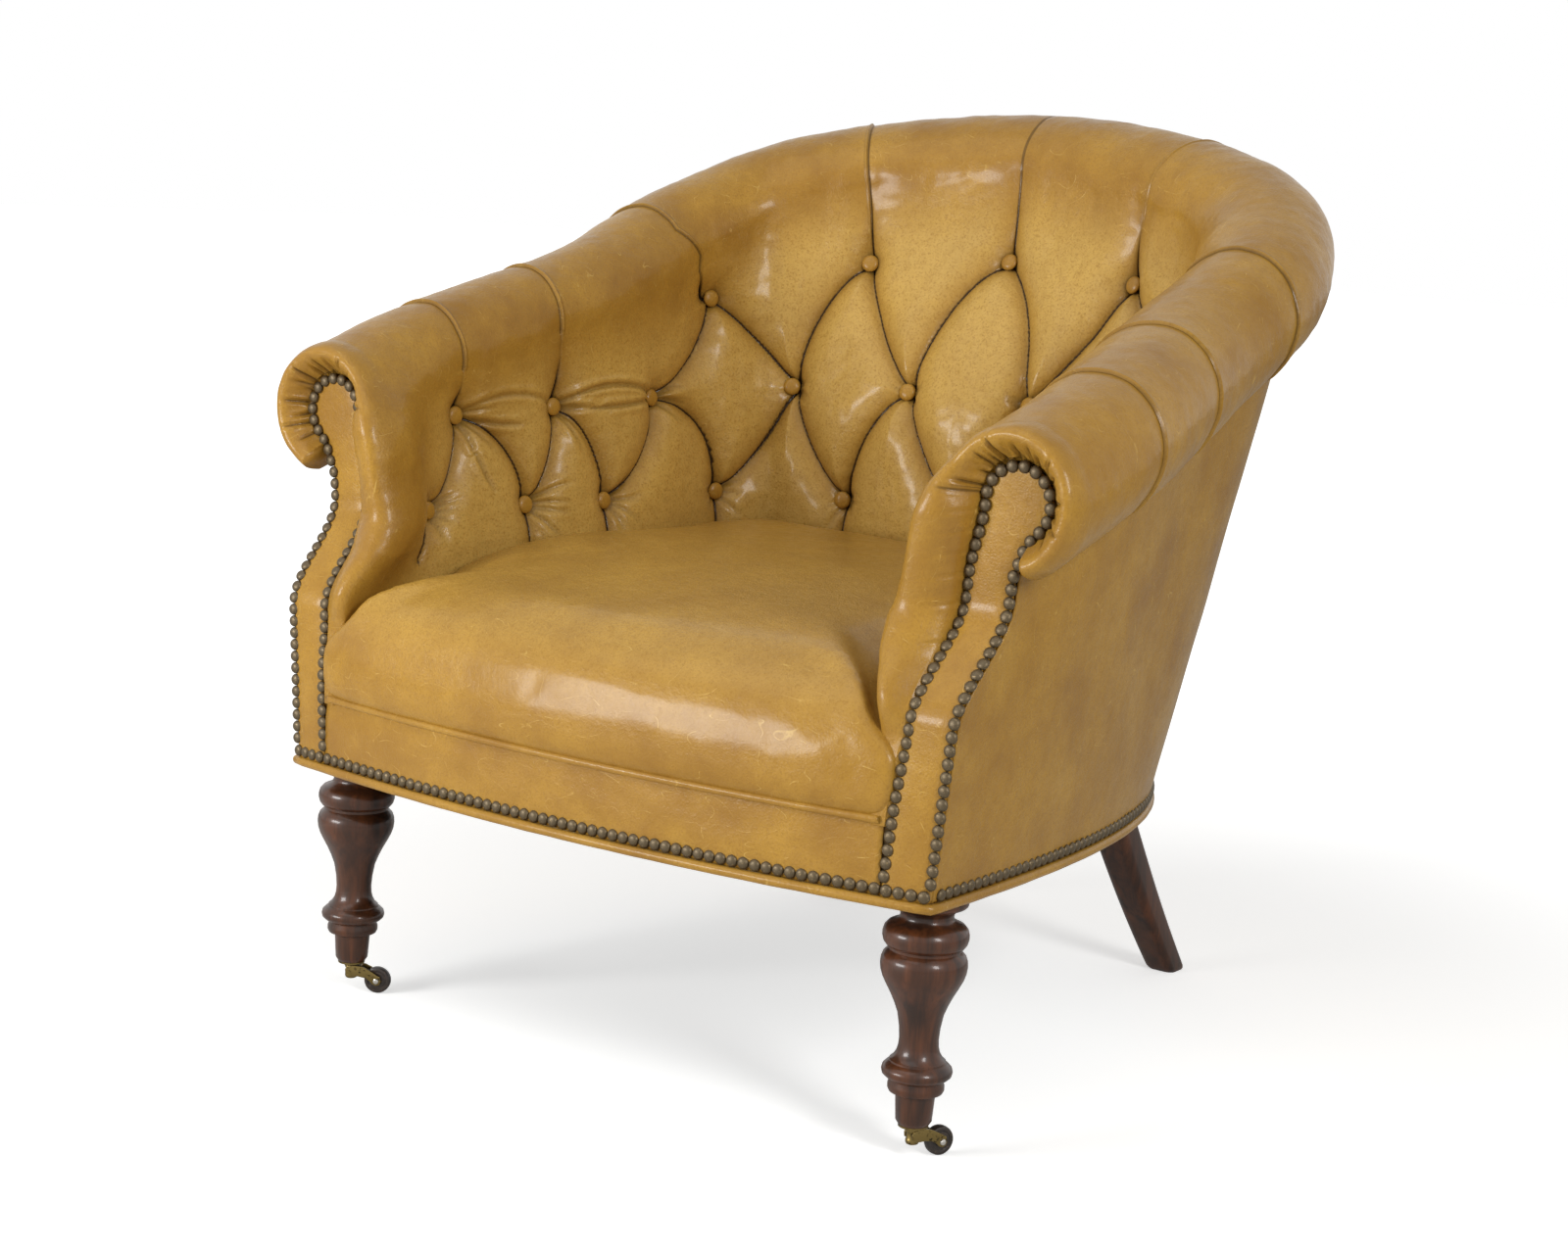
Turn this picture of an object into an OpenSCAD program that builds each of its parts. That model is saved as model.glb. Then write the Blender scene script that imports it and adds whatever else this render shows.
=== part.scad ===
// Tufted leather accent chair on two front casters, with the frame, springs and padding inside.
// X is the width, Y runs from the front to the back, Z is up, and Z = 0 is the floor.

/* [Seat frame] */
// Width of the upholstered base at its front corners
base_w = 724; // [640:4:820]
// Depth of the upholstered base from the front corners to the middle of the back
base_d = 670; // [580:5:740]
// How square the plan of the base is (2 is an ellipse)
base_square = 2.7; // [2.4:0.1:3.2]
// How far the front rail bows out in the middle
bow = 34; // [10:1:60]
// Height of the underside of the seat frame above the floor
base_z = 233; // [210:1:260]
// Height of the wooden rails
rail_h = 66; // [50:1:80]
// Thickness of the wooden rails
rail_t = 26; // [20:1:32]

/* [Arms and back] */
// How far the middle of each roll stands out past the side of the base
arm_over = 22; // [19:0.5:25]
// Distance from the front corners back to the start of the roll
arm_setback = 60; // [40:1:80]
// Height of the middle of the roll at the arm fronts
arm_z = 567; // [540:1:600]
// How far the middle of the roll stands out past the back of the base
back_over = 52; // [44:1:60]
// Height of the middle of the roll at the back
back_z = 825; // [760:1:860]
// Radius of the padded roll
roll_r = 63; // [56:1:68]
// Radius of the wooden core inside the roll
core_r = 30; // [29.5:0.5:32]
// Thickness of the padding on the inside of the arms and back
pad_t = 24; // [20:1:28]
// How far the inside of the arms stands in from the roll at the seat
arm_swell = 32; // [20:1:45]
// How far the padding swells in further at the arm fronts
arm_bolster = 28; // [18:1:36]
// How far the inside of the back stands in from the roll at the seat
back_swell = 102; // [80:1:115]
// Depth that each button pulls the padding in
tuft_depth = 16; // [8:1:20]

/* [Seat] */
// Height of the seat where it meets the back
seat_z = 440; // [420:1:455]
// Height of the seam under the seat at the front
seam_z = 307; // [305:1:320]
// Extra height of the crown in the middle of the seat
seat_crown = 12; // [0:1:20]
// Thickness of the leather
hide = 2.5; // [1.5:0.1:3]

/* [Trim] */
// Diameter of a decorative nail head
nail_d = 10.6; // [8:0.1:11]
// Distance from one nail to the next
nail_pitch = 11.3; // [11.1:0.1:14]
// Diameter of the welt round the bottom edge
welt_d = 9; // [6:0.5:11]
// Width of the panel on each arm front, from one nail row to the other
panel_w = 44; // [36:1:50]
// Diameter of a covered button
button_d = 18; // [14:0.5:22]

/* [Legs] */
// Distance from the side of the base in to the middle of a front leg
leg_inset = 32; // [28:0.5:36]
// Distance from the front corners back to the front legs
leg_setback = 48; // [40:1:56]
// Largest radius of a front leg
leg_r = 37; // [30:0.5:38]
// Distance between the tops of the two rear legs
rear_span = 356; // [280:2:380]
// Distance from the back of the base in to the tops of the rear legs
rear_inset = 76; // [70:1:90]
// How far a rear leg rakes back on its way down
rear_rake = 136; // [60:1:140]
// How far a rear leg splays out on its way down
rear_splay = 29; // [0:1:40]

/* [Casters] */
// Diameter of a caster wheel
wheel_d = 26; // [22:0.5:29]
// Width of a caster wheel
wheel_w = 9; // [7:0.5:12]
// Distance from the swivel line back to the axle
trail = 27; // [20:0.5:30]
// Radius of the caster stem
stem_r = 4; // [3:0.25:5]
// Radius of the wheel axle
axle_r = 2; // [1.5:0.25:2.5]
// Radial running clearance of the stem and the wheel
run_gap = 0.06; // [0.02:0.01:0.1]

/* [Hidden] */
$fn = 48;
half_w = base_w / 2;
rail_top = base_z + rail_h;
arm_span = base_w + 2 * arm_over;
back_y = base_d + back_over;
leg_span = base_w - 2 * leg_inset;
rear_y = base_d - rear_inset;
// The seat leather bulges this far in front of the rail
seat_bulge = 8;
// Small gap left between soft pieces
ease = 0.4;
// Depth of the pleats that run over the roll
pleat_depth = 2.5;
// Middle of the whole chair from the front corners
plan_mid = (back_y + roll_r - pleat_depth - bow - seat_bulge) / 2;

// Colours of the finishes
leather = "#b08a3c";
walnut = "#3a211a";
bronze = "#4d463a";
brass = "#7d7048";
pine = "#c8a873";

function lerp(a, b, t) = a + (b - a) * t;
function smooth(t) = let (c = min(max(t, 0), 1)) c * c * (3 - 2 * c);
function flat(p) = [p.x, p.y];
function unit(v) = v / norm(v);
function running(list, i = 0, sum = 0) =
    i >= len(list) ? [] : concat([sum + list[i]], running(list, i + 1, sum + list[i]));
function flip(p) = [-p.x, p.y, p.z];

module placed() {
    translate([0, -plan_mid, 0]) children();
}

module both_sides() {
    children();
    mirror([1, 0, 0]) children();
}

// A closed skin over rings that all have the same number of points
module skin(rings) {
    n = len(rings[0]);
    last = len(rings) - 1;
    points = [for (ring = rings) each ring];
    walls = [for (i = [0:last - 1]) for (j = [0:n - 1]) let (k = (j + 1) % n)
        each [[i * n + j, (i + 1) * n + k, i * n + k], [i * n + j, (i + 1) * n + j, (i + 1) * n + k]]];
    polyhedron(points, concat(walls, cap(0, n, false), cap(last * n, n, true)));
}

// The end of a skin, as a strip of triangles between the two halves of its ring
function cap(start, n, turned) = [for (i = [0:floor(n / 2) - 1]) let (
    a = i,
    b = i + 1,
    c = n - 1 - i,
    d = n - 2 - i
) each concat(
    c > b ? [[start + a, start + (turned ? c : b), start + (turned ? b : c)]] : [],
    d > b ? [[start + b, start + (turned ? c : d), start + (turned ? d : c)]] : [])];

// A tube of n sides along a list of points
module tube(path, r, n = 6) {
    last = len(path) - 1;
    skin([for (i = [0:last]) let (
        d = unit(path[min(i + 1, last)] - path[max(i - 1, 0)]),
        side = unit(cross([0, 0, 1], d)),
        up = cross(d, side)
    ) [for (j = [0:n - 1]) path[i] + r * (cos(360 * j / n) * side + sin(360 * j / n) * up)]]);
}

// The roll: shares of the arm span, of the depth and of the rise, from an arm front to the back
roll_x = [1, 0.997, 0.922, 0.896, 0.669, 0];
roll_y = [0, 0.177, 0.475, 0.716, 0.9, 1];
roll_z = [0, 0.15, 0.38, 0.65, 0.876, 1];
roll_knots = [for (i = [0:5]) [
    arm_span / 2 * roll_x[i], lerp(arm_setback, back_y, roll_y[i]), lerp(arm_z, back_z, roll_z[i])]];

function curve(a, b, c, d, t) = 0.5 * (2 * b + (c - a) * t + (2 * a - 5 * b + 4 * c - d) * t * t
    + (3 * b - a - 3 * c + d) * t * t * t);
function along_knots(u) = let (
    n = len(roll_knots) - 1,
    k = min(floor(u * n), n - 1),
    before = k == 0 ? 2 * roll_knots[0] - roll_knots[1] : roll_knots[k - 1],
    after = k == n - 1 ? flip(roll_knots[n - 1]) : roll_knots[k + 2]
) curve(before, roll_knots[k], roll_knots[k + 1], after, u * n - k);

roll_steps = 60;
roll_walk = [for (i = [0:roll_steps]) along_knots(i / roll_steps)];
roll_run = concat([0], running([for (i = [1:roll_steps]) norm(roll_walk[i] - roll_walk[i - 1])]));
roll_len = roll_run[roll_steps];
roll_table = [for (i = [0:roll_steps]) [roll_run[i] / roll_len, i / roll_steps]];
// Middle of the roll, at a share of its length from the arm front (0) to the middle of the back (1)
function roll_at(f) = along_knots(lookup(f, roll_table));
function roll_out(f) = f > 0.985 ? [0, 1]
    : let (d = unit(flat(roll_at(min(f + 0.01, 1))) - flat(roll_at(max(f - 0.01, 0))))) [d.y, -d.x];

// The base: a squared ellipse, at a share of its length from the front corner to the back
base_steps = 60;
function base_point(a) = [half_w * pow(cos(a), 2 / base_square), base_d * pow(sin(a), 2 / base_square)];
base_walk = [for (i = [0:base_steps]) base_point(90 * i / base_steps)];
base_run = concat([0], running([for (i = [1:base_steps]) norm(base_walk[i] - base_walk[i - 1])]));
base_table_x = [for (i = [0:base_steps]) [base_run[i] / base_run[base_steps], base_walk[i].x]];
base_table_y = [for (i = [0:base_steps]) [base_run[i] / base_run[base_steps], base_walk[i].y]];
function base_at(f) = [lookup(f, base_table_x), lookup(f, base_table_y)];
function base_out(f) = f > 0.985 ? [0, 1]
    : let (d = unit(base_at(min(f + 0.01, 1)) - base_at(max(f - 0.01, 0)))) [d.y, -d.x];
function base_inset(f, d) = base_at(f) - d * base_out(f);
function bow_y(x) = -bow * (1 - pow(x / half_w, 2));

// The arm fronts stand upright, then sweep back to the start of the roll
sweep_z = 382;
sweep_h = 100;
function front_y(z) = arm_setback * smooth((z - sweep_z) / sweep_h);
// How far back along the arm the sweep still shows, as a share of the roll
sweep_share = 0.18;
function sweep_fade(f) = 1 - smooth(f / sweep_share);

// The welt hangs on the bottom edge, and the leather ends just above it
welt_z = base_z;
welt_out = 2;
leather_z = welt_z + sqrt(pow(welt_d / 2, 2) - pow(welt_out, 2)) + ease;

// Arm front panel: its two edges at each height, with a round scroll at the top
scroll_r = 32;
panel_lean = 21;
panel_rise = 250;
panel_t = 3.4;
neck_z = 497;
neck_join = 535;
scroll_mid = [arm_span / 2, arm_z - 2];
function straight_x(z) = half_w + panel_lean * (z - base_z) / panel_rise;
function scroll_half(z) = sqrt(max(pow(scroll_r, 2) - pow(z - scroll_mid[1], 2), 0));
function panel_out(z) = z < neck_z ? straight_x(z)
    : z < neck_join ? lerp(straight_x(neck_z), scroll_mid[0] + scroll_half(neck_join),
        smooth((z - neck_z) / (neck_join - neck_z)))
    : scroll_mid[0] + scroll_half(z);
function panel_in(z) = z < neck_z ? straight_x(z) - panel_w
    : z < scroll_mid[1] ? lerp(straight_x(neck_z) - panel_w, scroll_mid[0] - scroll_r,
        smooth((z - neck_z) / (scroll_mid[1] - neck_z)))
    : scroll_mid[0] - scroll_half(z);
function panel_levels(z0) = concat([z0],
    [for (z = [base_z + 35, base_z + 75, base_z + 110]) if (z > z0 + 2) z],
    [for (t = [0:0.1:1]) sweep_z + t * sweep_h],
    [for (t = [0.3:0.35:1]) lerp(sweep_z + sweep_h, neck_z, t)],
    [for (t = [0:0.33:1]) lerp(neck_z + 2, neck_join, t)],
    [for (a = [-42, -25, -8, 10, 30, 50, 66, 78]) scroll_mid[1] + scroll_r * sin(a)]);
// The foot of the panel follows the bow of the front
function panel_y(x, z) = front_y(z) + bow_y(min(x, half_w)) * (1 - smooth((z - seam_z) / (sweep_z - seam_z)));

// Inside face of the arms and back
swell_start = 0.6;
swell_rise = 280;
function swell(f) = lerp(arm_swell, back_swell, smooth((f - swell_start) / (1 - swell_start)));
function plain_reach(f, z) = roll_r + swell(f) * smooth((roll_at(f).z - max(z, seat_z)) / swell_rise);
function bolster(f, z) = arm_bolster * exp(-pow(f / 0.045, 2)) * smooth((arm_z + 45 - z) / 90)
    * lerp(0.55, 1, smooth((z - seat_z) / 110)) * smooth((z - seam_z - 55) / 58);
function inside_reach(f, z) = plain_reach(f, z) + bolster(f, z);
function at_reach(f, z, reach) = let (p = flat(roll_at(f)) - reach * roll_out(f))
    [p.x, p.y + (front_y(z) - arm_setback) * sweep_fade(f), z];
function inside_at(f, z, deeper = 0) = at_reach(f, z, inside_reach(f, z) - deeper);
// Back of the padding, clear of the frame and of the arm front panel
post_share = 0.1;
function backing(f, z) = max(plain_reach(f, z) - pad_t, f < post_share ? arm_span / 2 - panel_in(z) + 1 : 0);

// Where the buttons are, as shares of the roll, and which row of the cover they pull in
low_buttons = [0.073, 0.222, 0.332, 0.545, 0.803, 1];
mid_buttons = [0.128, 0.269, 0.412, 0.706, 0.892];
top_buttons = [0.545, 0.803, 1];
pleats = [0.128, 0.269, 0.466, 0.8, 1];
low_row = 2;
mid_row = 4;
top_row = 6;
// Heights of the rows of the cover, from its hidden lower edge to the roll
low_row_z = 473;
mid_row_z = [556, 604];
top_row_share = 0.62;
function cover_low(f) = lerp(seam_z + 10, seat_z - 25, smooth(f / 0.15));
function row_z(i, f) = let (mid = lerp(mid_row_z[0], mid_row_z[1], f), top = roll_at(f).z)
    [cover_low(f), lerp(cover_low(f), low_row_z, 0.45), low_row_z, (low_row_z + mid) / 2, mid,
     lerp(mid, top, top_row_share / 2),
     lerp(mid, top, top_row_share), top][i];
function near_any(f, list, reach) = max([for (b = list) exp(-pow((f - b) / reach, 2))]);
button_rows = [[low_row, low_buttons], [mid_row, mid_buttons], [top_row, top_buttons]];
// The buttons pull the padding in, at a height z on the inside
tuft_reach = 0.02;
tuft_rise = 14;
function tuft_at(f, z) = tuft_depth * max([for (b = button_rows)
    near_any(f, b[1], tuft_reach) * exp(-pow((row_z(b[0], f) - z) / tuft_rise, 2))]);
function tuft(i, f) = tuft_at(f, row_z(i, f));
function groove(f) = pleat_depth * near_any(f, pleats, 0.01);

// The cover goes over the roll from the inside to just past this angle under its outer side,
// where the outside leather is tucked in, a little way inside the roll
tuck_gap = 8;
ear_gap = 8;
tuck_in = 4;
function tuck_angle(f) = lerp(-86, -64, smooth(f / 0.3));
roll_arcs = 8;
hole_arcs = 5;
cover_stations = [0, 0.04, 0.073, 0.128, 0.175, 0.222, 0.269, 0.3, 0.332, 0.372, 0.412, 0.466,
    0.545, 0.62, 0.706, 0.753, 0.803, 0.848, 0.892, 0.946, 1];

function on_roll(f, r, a) = let (c = roll_at(f), o = roll_out(f))
    [c.x + o.x * r * cos(a), c.y + o.y * r * cos(a), c.z + r * sin(a)];
function bolstered(f, a) = let (z = roll_at(f).z)
    roll_r - groove(f) + (a > 90 ? bolster(f, z + roll_r * sin(a)) : 0)
    - tuft_at(f, z) * smooth((a - 120) / 60);
function hole_r(f) = (f < post_share ? max(core_r, scroll_r) : core_r) / cos(130 / hole_arcs) + ease;
// One ring of the cover: up the inside, over the roll, and back under it along the frame.
// A share of the way in from each face makes the smaller rings of the ear.
function cover_ring(f, ahead = 0, outer = 0, inner = 0) = let (
    low = tuck_angle(f) + tuck_gap + ear_gap * (1 - smooth(f / post_share)),
    ring = concat(
        [for (j = [roll_arcs:-1:0]) let (a = lerp(180, low, j / roll_arcs))
            on_roll(f, lerp(bolstered(f, a), hole_r(f), outer), a)],
        [for (i = [top_row:-1:0]) let (z = row_z(i, f))
            at_reach(f, z, lerp(inside_reach(f, z), backing(f, z), outer) - tuft(i, f))],
        [for (i = [0, low_row, mid_row, top_row]) let (z = row_z(i, f))
            at_reach(f, z, lerp(backing(f, z), inside_reach(f, z), inner))],
        [for (j = [0:hole_arcs]) let (a = lerp(180, low, j / hole_arcs))
            on_roll(f, lerp(hole_r(f), bolstered(f, a), inner), a)])
) [for (p = ring) p - [0, ahead * lerp(0.55, 1, smooth((p.z - low_row_z + 43) / 80)), 0]];
// The ear of the roll and the padded arm front round off in steps: how far ahead, and the shares
ear_steps = [[23, 0.36, 0.4], [17, 0.09, 0.22], [1, 0, 0.17]];
cover_half = concat([for (e = ear_steps) cover_ring(0, e[0], e[1], e[2])],
    [for (f = cover_stations) cover_ring(f)]);
cover_rings = concat(
    [for (ring = cover_half) [for (p = ring) flip(p)]],
    [for (i = [len(cover_half) - 2:-1:0]) cover_half[i]]);

// Outside leather, tucked in behind the panels of the arm fronts, from the base to just under the roll
front_tuck = 3;
outside_rows = [0, 0.25, 0.5, 0.56, 0.63, 0.7, 0.77, 0.84, 0.92, 1];
function outside_at(f, t, inset = 0) = let (
    top = on_roll(f, roll_r - tuck_in, tuck_angle(f)),
    low = base_inset(f, inset),
    z = lerp(base_z, top.z, t),
    p = lerp(low, flat(top) - inset * roll_out(f), t)
) [p.x, p.y + (front_y(z) + front_tuck - arm_setback * t) * sweep_fade(f), z];
function outside_share(f, z) = (z - base_z) / (on_roll(f, roll_r - tuck_in, tuck_angle(f)).z - base_z);
function outside_ring(f) = concat(
    [for (t = outside_rows) outside_at(f, max(t, outside_share(f, leather_z)))],
    [for (i = [len(outside_rows) - 1:-1:0])
        outside_at(f, max(outside_rows[i], outside_share(f, leather_z)), hide)]);
outside_stations = concat([0, 0.04, 0.09, 0.14], [for (i = [0:12]) lerp(0.19, 1, i / 12)]);

module panel_slab(z0, y0, y1, inset) {
    top = scroll_mid[1] + scroll_r - inset;
    skin([for (z = panel_levels(z0)) if (z < top) let (
        a = panel_in(z) + inset,
        b = panel_out(z) - inset - hide
    ) [[a, panel_y(a, z) + y0, z], [b, panel_y(b, z) + y0, z], [b, panel_y(b, z) + y1, z],
        [a, panel_y(a, z) + y1, z]]]);
}

module arm_front() {
    panel_slab(leather_z, -1, panel_t - 1, 0.5);
}

post_t = 14;
module arm_post() {
    panel_slab(rail_top + ease, panel_t + 0.8, panel_t + post_t, 6);
}

// Seat frame
module bolt_holes() {
    for (p = leg_spots) translate([p.x, p.y, base_z - 1]) cylinder(h = rail_h + 2, r = bolt_r + bolt_gap);
}

function front_edge(x, y) = [x, bow_y(x) + y];
front_xs = [for (i = [-12:12]) i / 12];
module front_band(half, y0, y1, z0, z1) {
    translate([0, 0, z0]) linear_extrude(z1 - z0) polygon(concat(
        [for (t = front_xs) front_edge(t * half, y0)],
        [for (i = [len(front_xs) - 1:-1:0]) front_edge(front_xs[i] * half, y1)]));
}

rail_skin = hide + 2;
side_end = 0.4;
module side_strip(f0, f1, d0, d1, steps = 12) {
    polygon(concat(
        [for (i = [0:steps]) base_inset(lerp(f0, f1, i / steps), d0)],
        [for (i = [steps:-1:0]) base_inset(lerp(f0, f1, i / steps), d1)]));
}

module inside_plan(d, back = 30) {
    polygon(concat(
        [for (i = [0:back]) base_inset(i / back, d)],
        [for (i = [back - 1:-1:0]) let (p = base_inset(i / back, d)) [-p.x, p.y]]));
}

module seat_rail_front() {
    color(pine) placed()
        front_band(half_w - rail_skin - rail_t - 0.3, rail_skin, rail_skin + rail_t, base_z, rail_top);
}

module seat_rail_side() {
    difference() {
        translate([0, 0, base_z]) linear_extrude(rail_h)
            side_strip(0.012, side_end, rail_skin, rail_skin + rail_t);
        bolt_holes();
    }
}

module seat_rail_left() {
    color(pine) placed() mirror([1, 0, 0]) seat_rail_side();
}

module seat_rail_right() {
    color(pine) placed() seat_rail_side();
}

module seat_rail_back() {
    color(pine) placed() difference() {
        translate([0, 0, base_z]) linear_extrude(rail_h) difference() {
            inside_plan(rail_skin);
            inside_plan(rail_skin + rail_t);
            translate([-half_w, -1]) square([base_w, base_at(side_end).y + 1.3]);
        }
        bolt_holes();
    }
}

// Legs: where their tops meet the frame
leg_spots = [for (s = [-1, 1]) each [[s * leg_span / 2, leg_setback], [s * rear_span / 2, rear_y]]];
block_size = 84;
bolt_r = 4;
bolt_gap = 0.2;
bolt_up = 40;
bolt_down = 34;

module corner_blocks() {
    color(pine) placed() difference() {
        translate([0, 0, base_z]) linear_extrude(rail_h - 12) intersection() {
            inside_plan(rail_skin + rail_t + 0.3);
            union() {
                for (p = leg_spots) translate(p) square(block_size, center = true);
            }
            translate([-half_w, rail_skin + rail_t + 0.3]) square([base_w, base_d]);
        }
        bolt_holes();
    }
}

module leg_bolts() {
    color(bronze) placed() for (p = leg_spots)
        translate([p.x, p.y, base_z - bolt_down + 1]) cylinder(h = bolt_down + bolt_up - 1, r = bolt_r);
}

module arm_post_left() {
    color(pine) placed() mirror([1, 0, 0]) arm_post();
}

module arm_post_right() {
    color(pine) placed() arm_post();
}

upright_shares = [0.25, 0.5, 0.78];
upright_w = 16;
module upright(f) {
    foot = base_inset(f, rail_skin + upright_w / 2 + 1.5);
    low = [foot.x, foot.y, rail_top + ease];
    aim = roll_at(f) - low;
    intersection() {
        translate(low) rotate([0, acos(aim.z / norm(aim)), atan2(aim.y, aim.x)])
            translate([-upright_w / 2, -upright_w / 2, -upright_w])
                cube([upright_w, upright_w, norm(aim)]);
        translate([-base_w, -base_d, rail_top + ease]) cube([2 * base_w, 3 * base_d, back_z]);
    }
}

// The core of the roll: a rounded wooden rail from one arm post to the other
core_stations = [for (f = cover_stations) if (f > 0.07) f];
module roll_core(r) {
    half = [for (f = core_stations) [for (a = [0:36:324]) on_roll(f, r, a)]];
    skin(concat([for (ring = half) [for (p = ring) flip(p)]], [for (i = [len(half) - 2:-1:0]) half[i]]));
}

module frame_uprights() {
    color(pine) placed() difference() {
        union() {
            both_sides() for (f = upright_shares) upright(f);
            upright(1);
        }
        roll_core(core_r);
    }
}

module top_rail() {
    color(pine) placed() roll_core(core_r - 0.5);
}

// Seat
web_w = 50;
web_t = 1.6;
web_count = 5;
web_step = 100;
// How far a strap laps onto a rail
web_lap = 5;
function base_reach(x, half, deep) = deep * pow(1 - pow(abs(x) / half, base_square), 1 / base_square);
module seat_webbing() {
    inner = rail_skin + rail_t - web_lap;
    color("#6b6250") placed() for (i = [0:web_count - 1]) {
        x = (i - (web_count - 1) / 2) * web_step;
        y = (i + 0.9) * web_step;
        back = base_reach(abs(x) + web_w / 2, half_w - inner, base_d - inner);
        side = base_reach(y + web_w / 2, base_d - inner, half_w - inner);
        translate([x - web_w / 2, inner - bow + 8, rail_top + 0.2])
            cube([web_w, back - inner + bow - 8, web_t]);
        translate([-side, y - web_w / 2, rail_top + web_t + 0.3]) cube([2 * side, web_w, web_t]);
    }
}

seat_front_half = arm_span / 2 - plain_reach(0, seat_z) - 6;
seat_side_steps = 16;
// Plan of the seat: along the bowed front, then round the inside of the arms and back
seat_front_plan = concat(
    [for (t = [0, 0.3, 0.6, 0.85]) let (x = t * seat_front_half)
        [x, bow_y(x) - seat_bulge * (1 - 0.3 * t * t)]],
    [[seat_front_half, bow_y(seat_front_half) - 1], [seat_front_half - 6, 14]]);
// The corners of the front edge draw in towards the top by this share
corner_draw = 0.085;
corner_first = 4;
seat_plan_half = concat(seat_front_plan, [for (i = [0:seat_side_steps]) let (
    f = lerp(0.03, 1, i / seat_side_steps)
) flat(inside_at(f, seat_z)) - 1.5 * roll_out(f)]);
seat_plan = concat(seat_plan_half,
    [for (i = [len(seat_plan_half) - 2:-1:1]) [-seat_plan_half[i].x, seat_plan_half[i].y]]);
function is_corner(i) = let (k = min(i, len(seat_plan) - i)) k == corner_first || k == corner_first + 1;
seat_mid = [0, inside_at(1, seat_z).y / 2];
// Rings of the seat from the seam up: share of the plan, of the height at the sides, of the crown,
// and of the height at the front, where the edge is rounder
seat_levels = [[0.975, 0, 0, 0], [0.995, 0.22, 0, 0.17], [1, 0.45, 0, 0.36], [0.993, 0.7, 0, 0.57],
    [0.975, 0.86, 0.03, 0.72], [0.94, 0.95, 0.1, 0.84], [0.88, 0.99, 0.26, 0.94], [0.76, 1, 0.52, 0.99],
    [0.55, 1, 0.8, 1], [0.3, 1, 0.96, 1], [0.12, 1, 1, 1]];
// The front edge of the seat lies this much lower than the back
front_drop = 24;
function seat_ring(level, inset) = [for (i = [0:len(seat_plan) - 1]) let (
    share = lerp(level[1], level[3], smooth((200 - seat_plan[i].y) / 190)),
    z = lerp(seam_z, seat_z, share) + seat_crown * level[2] - (share > 0 ? inset : 0),
    draw = is_corner(i) ? 1 - corner_draw * smooth((share - 0.4) / 0.55) : 1,
    p = seat_plan[i] - seat_mid,
    q = seat_mid + [p.x * draw, p.y] * level[0] * (1 - inset / 300)
) [q.x, q.y, z - share * front_drop * smooth((seat_mid.y - q.y) / seat_mid.y)]];

module seat_form(inset, floor_drop) {
    skin(concat([[for (p = seat_ring(seat_levels[0], inset)) p - [0, 0, floor_drop]]],
        [for (level = seat_levels) seat_ring(level, inset)]));
}

module seat_foam() {
    color("#e6dcb8") placed() seat_form(hide + ease, 4);
}

module seat_cover() {
    color(leather) placed() difference() {
        seat_form(0, 2);
        seat_form(hide, 6);
    }
}

seat_welt_r = 3.6;
module seat_welt() {
    half = half_w - panel_w - 3;
    color(leather) placed() tube([for (t = front_xs)
        [t * half, bow_y(t * half) - 1.5, seam_z - seat_welt_r - 2.4]], seat_welt_r);
}

module front_rail_cover() {
    color(leather) placed()
        front_band(half_w - panel_w - 0.5, 0, hide, leather_z, seam_z - 2 * seat_welt_r - 2.8);
}

module inside_back_cover() {
    color(leather) placed() skin(cover_rings);
}

// Buttons sit in the tufts of the cover, on short stems
button_lift = 7;
module button_shape() {
    r = button_d / 2;
    rotate_extrude() polygon(concat([[0, 0], [r - 1, 0]],
        [for (a = [0:22.5:90]) [(r - 1) * cos(a) + cos(a), 1 + 4.5 * sin(a)]]));
    translate([0, 0, -button_lift + 0.4]) cylinder(h = button_lift, r = 1.2);
}

module button_at(f, i) {
    z = row_z(i, f);
    o = roll_out(f);
    n = unit(cross(inside_at(f, z + 15) - inside_at(f, z - 15), [-o.y, o.x, 0]));
    translate(inside_at(f, z, tuft(i, f)) + button_lift * n)
        rotate([0, acos(n.z), atan2(n.y, n.x)]) button_shape();
}

module button_row(list, i) {
    both_sides() for (f = list) if (f < 1) button_at(f, i);
    if (max(list) == 1) button_at(1, i);
}

module tuft_buttons() {
    color(leather) placed() {
        button_row(low_buttons, low_row);
        button_row(mid_buttons, mid_row);
        button_row(top_buttons, top_row);
    }
}

module outside_cover() {
    half = [for (f = outside_stations) outside_ring(f)];
    color(leather) placed() skin(concat(
        [for (ring = half) [for (p = ring) flip(p)]],
        [for (i = [len(half) - 2:-1:0]) half[i]]));
}

module arm_front_left() {
    color(leather) placed() mirror([1, 0, 0]) arm_front();
}

module arm_front_right() {
    color(leather) placed() arm_front();
}

// Nails
nail_h = 3.2;
nail_gap = 0.9;
nail_z = base_z + 10;
module nail(p, out) {
    translate(p) rotate([0, acos(out.z / norm(out)), atan2(out.y, out.x)])
        translate([0, 0, nail_gap]) cylinder(h = nail_h, d1 = nail_d, d2 = nail_d * 0.55, $fn = 24);
}

// The points at an even step along a path
function evenly(path, step) = let (
    run = concat([0], running([for (i = [1:len(path) - 1]) norm(path[i] - path[i - 1])])),
    count = floor(run[len(run) - 1] / step + 0.5),
    share = [for (i = [0:len(path) - 1]) [run[i] / run[len(run) - 1], i]]
) [for (k = [0:count]) let (u = lookup(k / count, share), i = min(floor(u), len(path) - 2))
    lerp(path[i], path[i + 1], u - i)];

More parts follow.
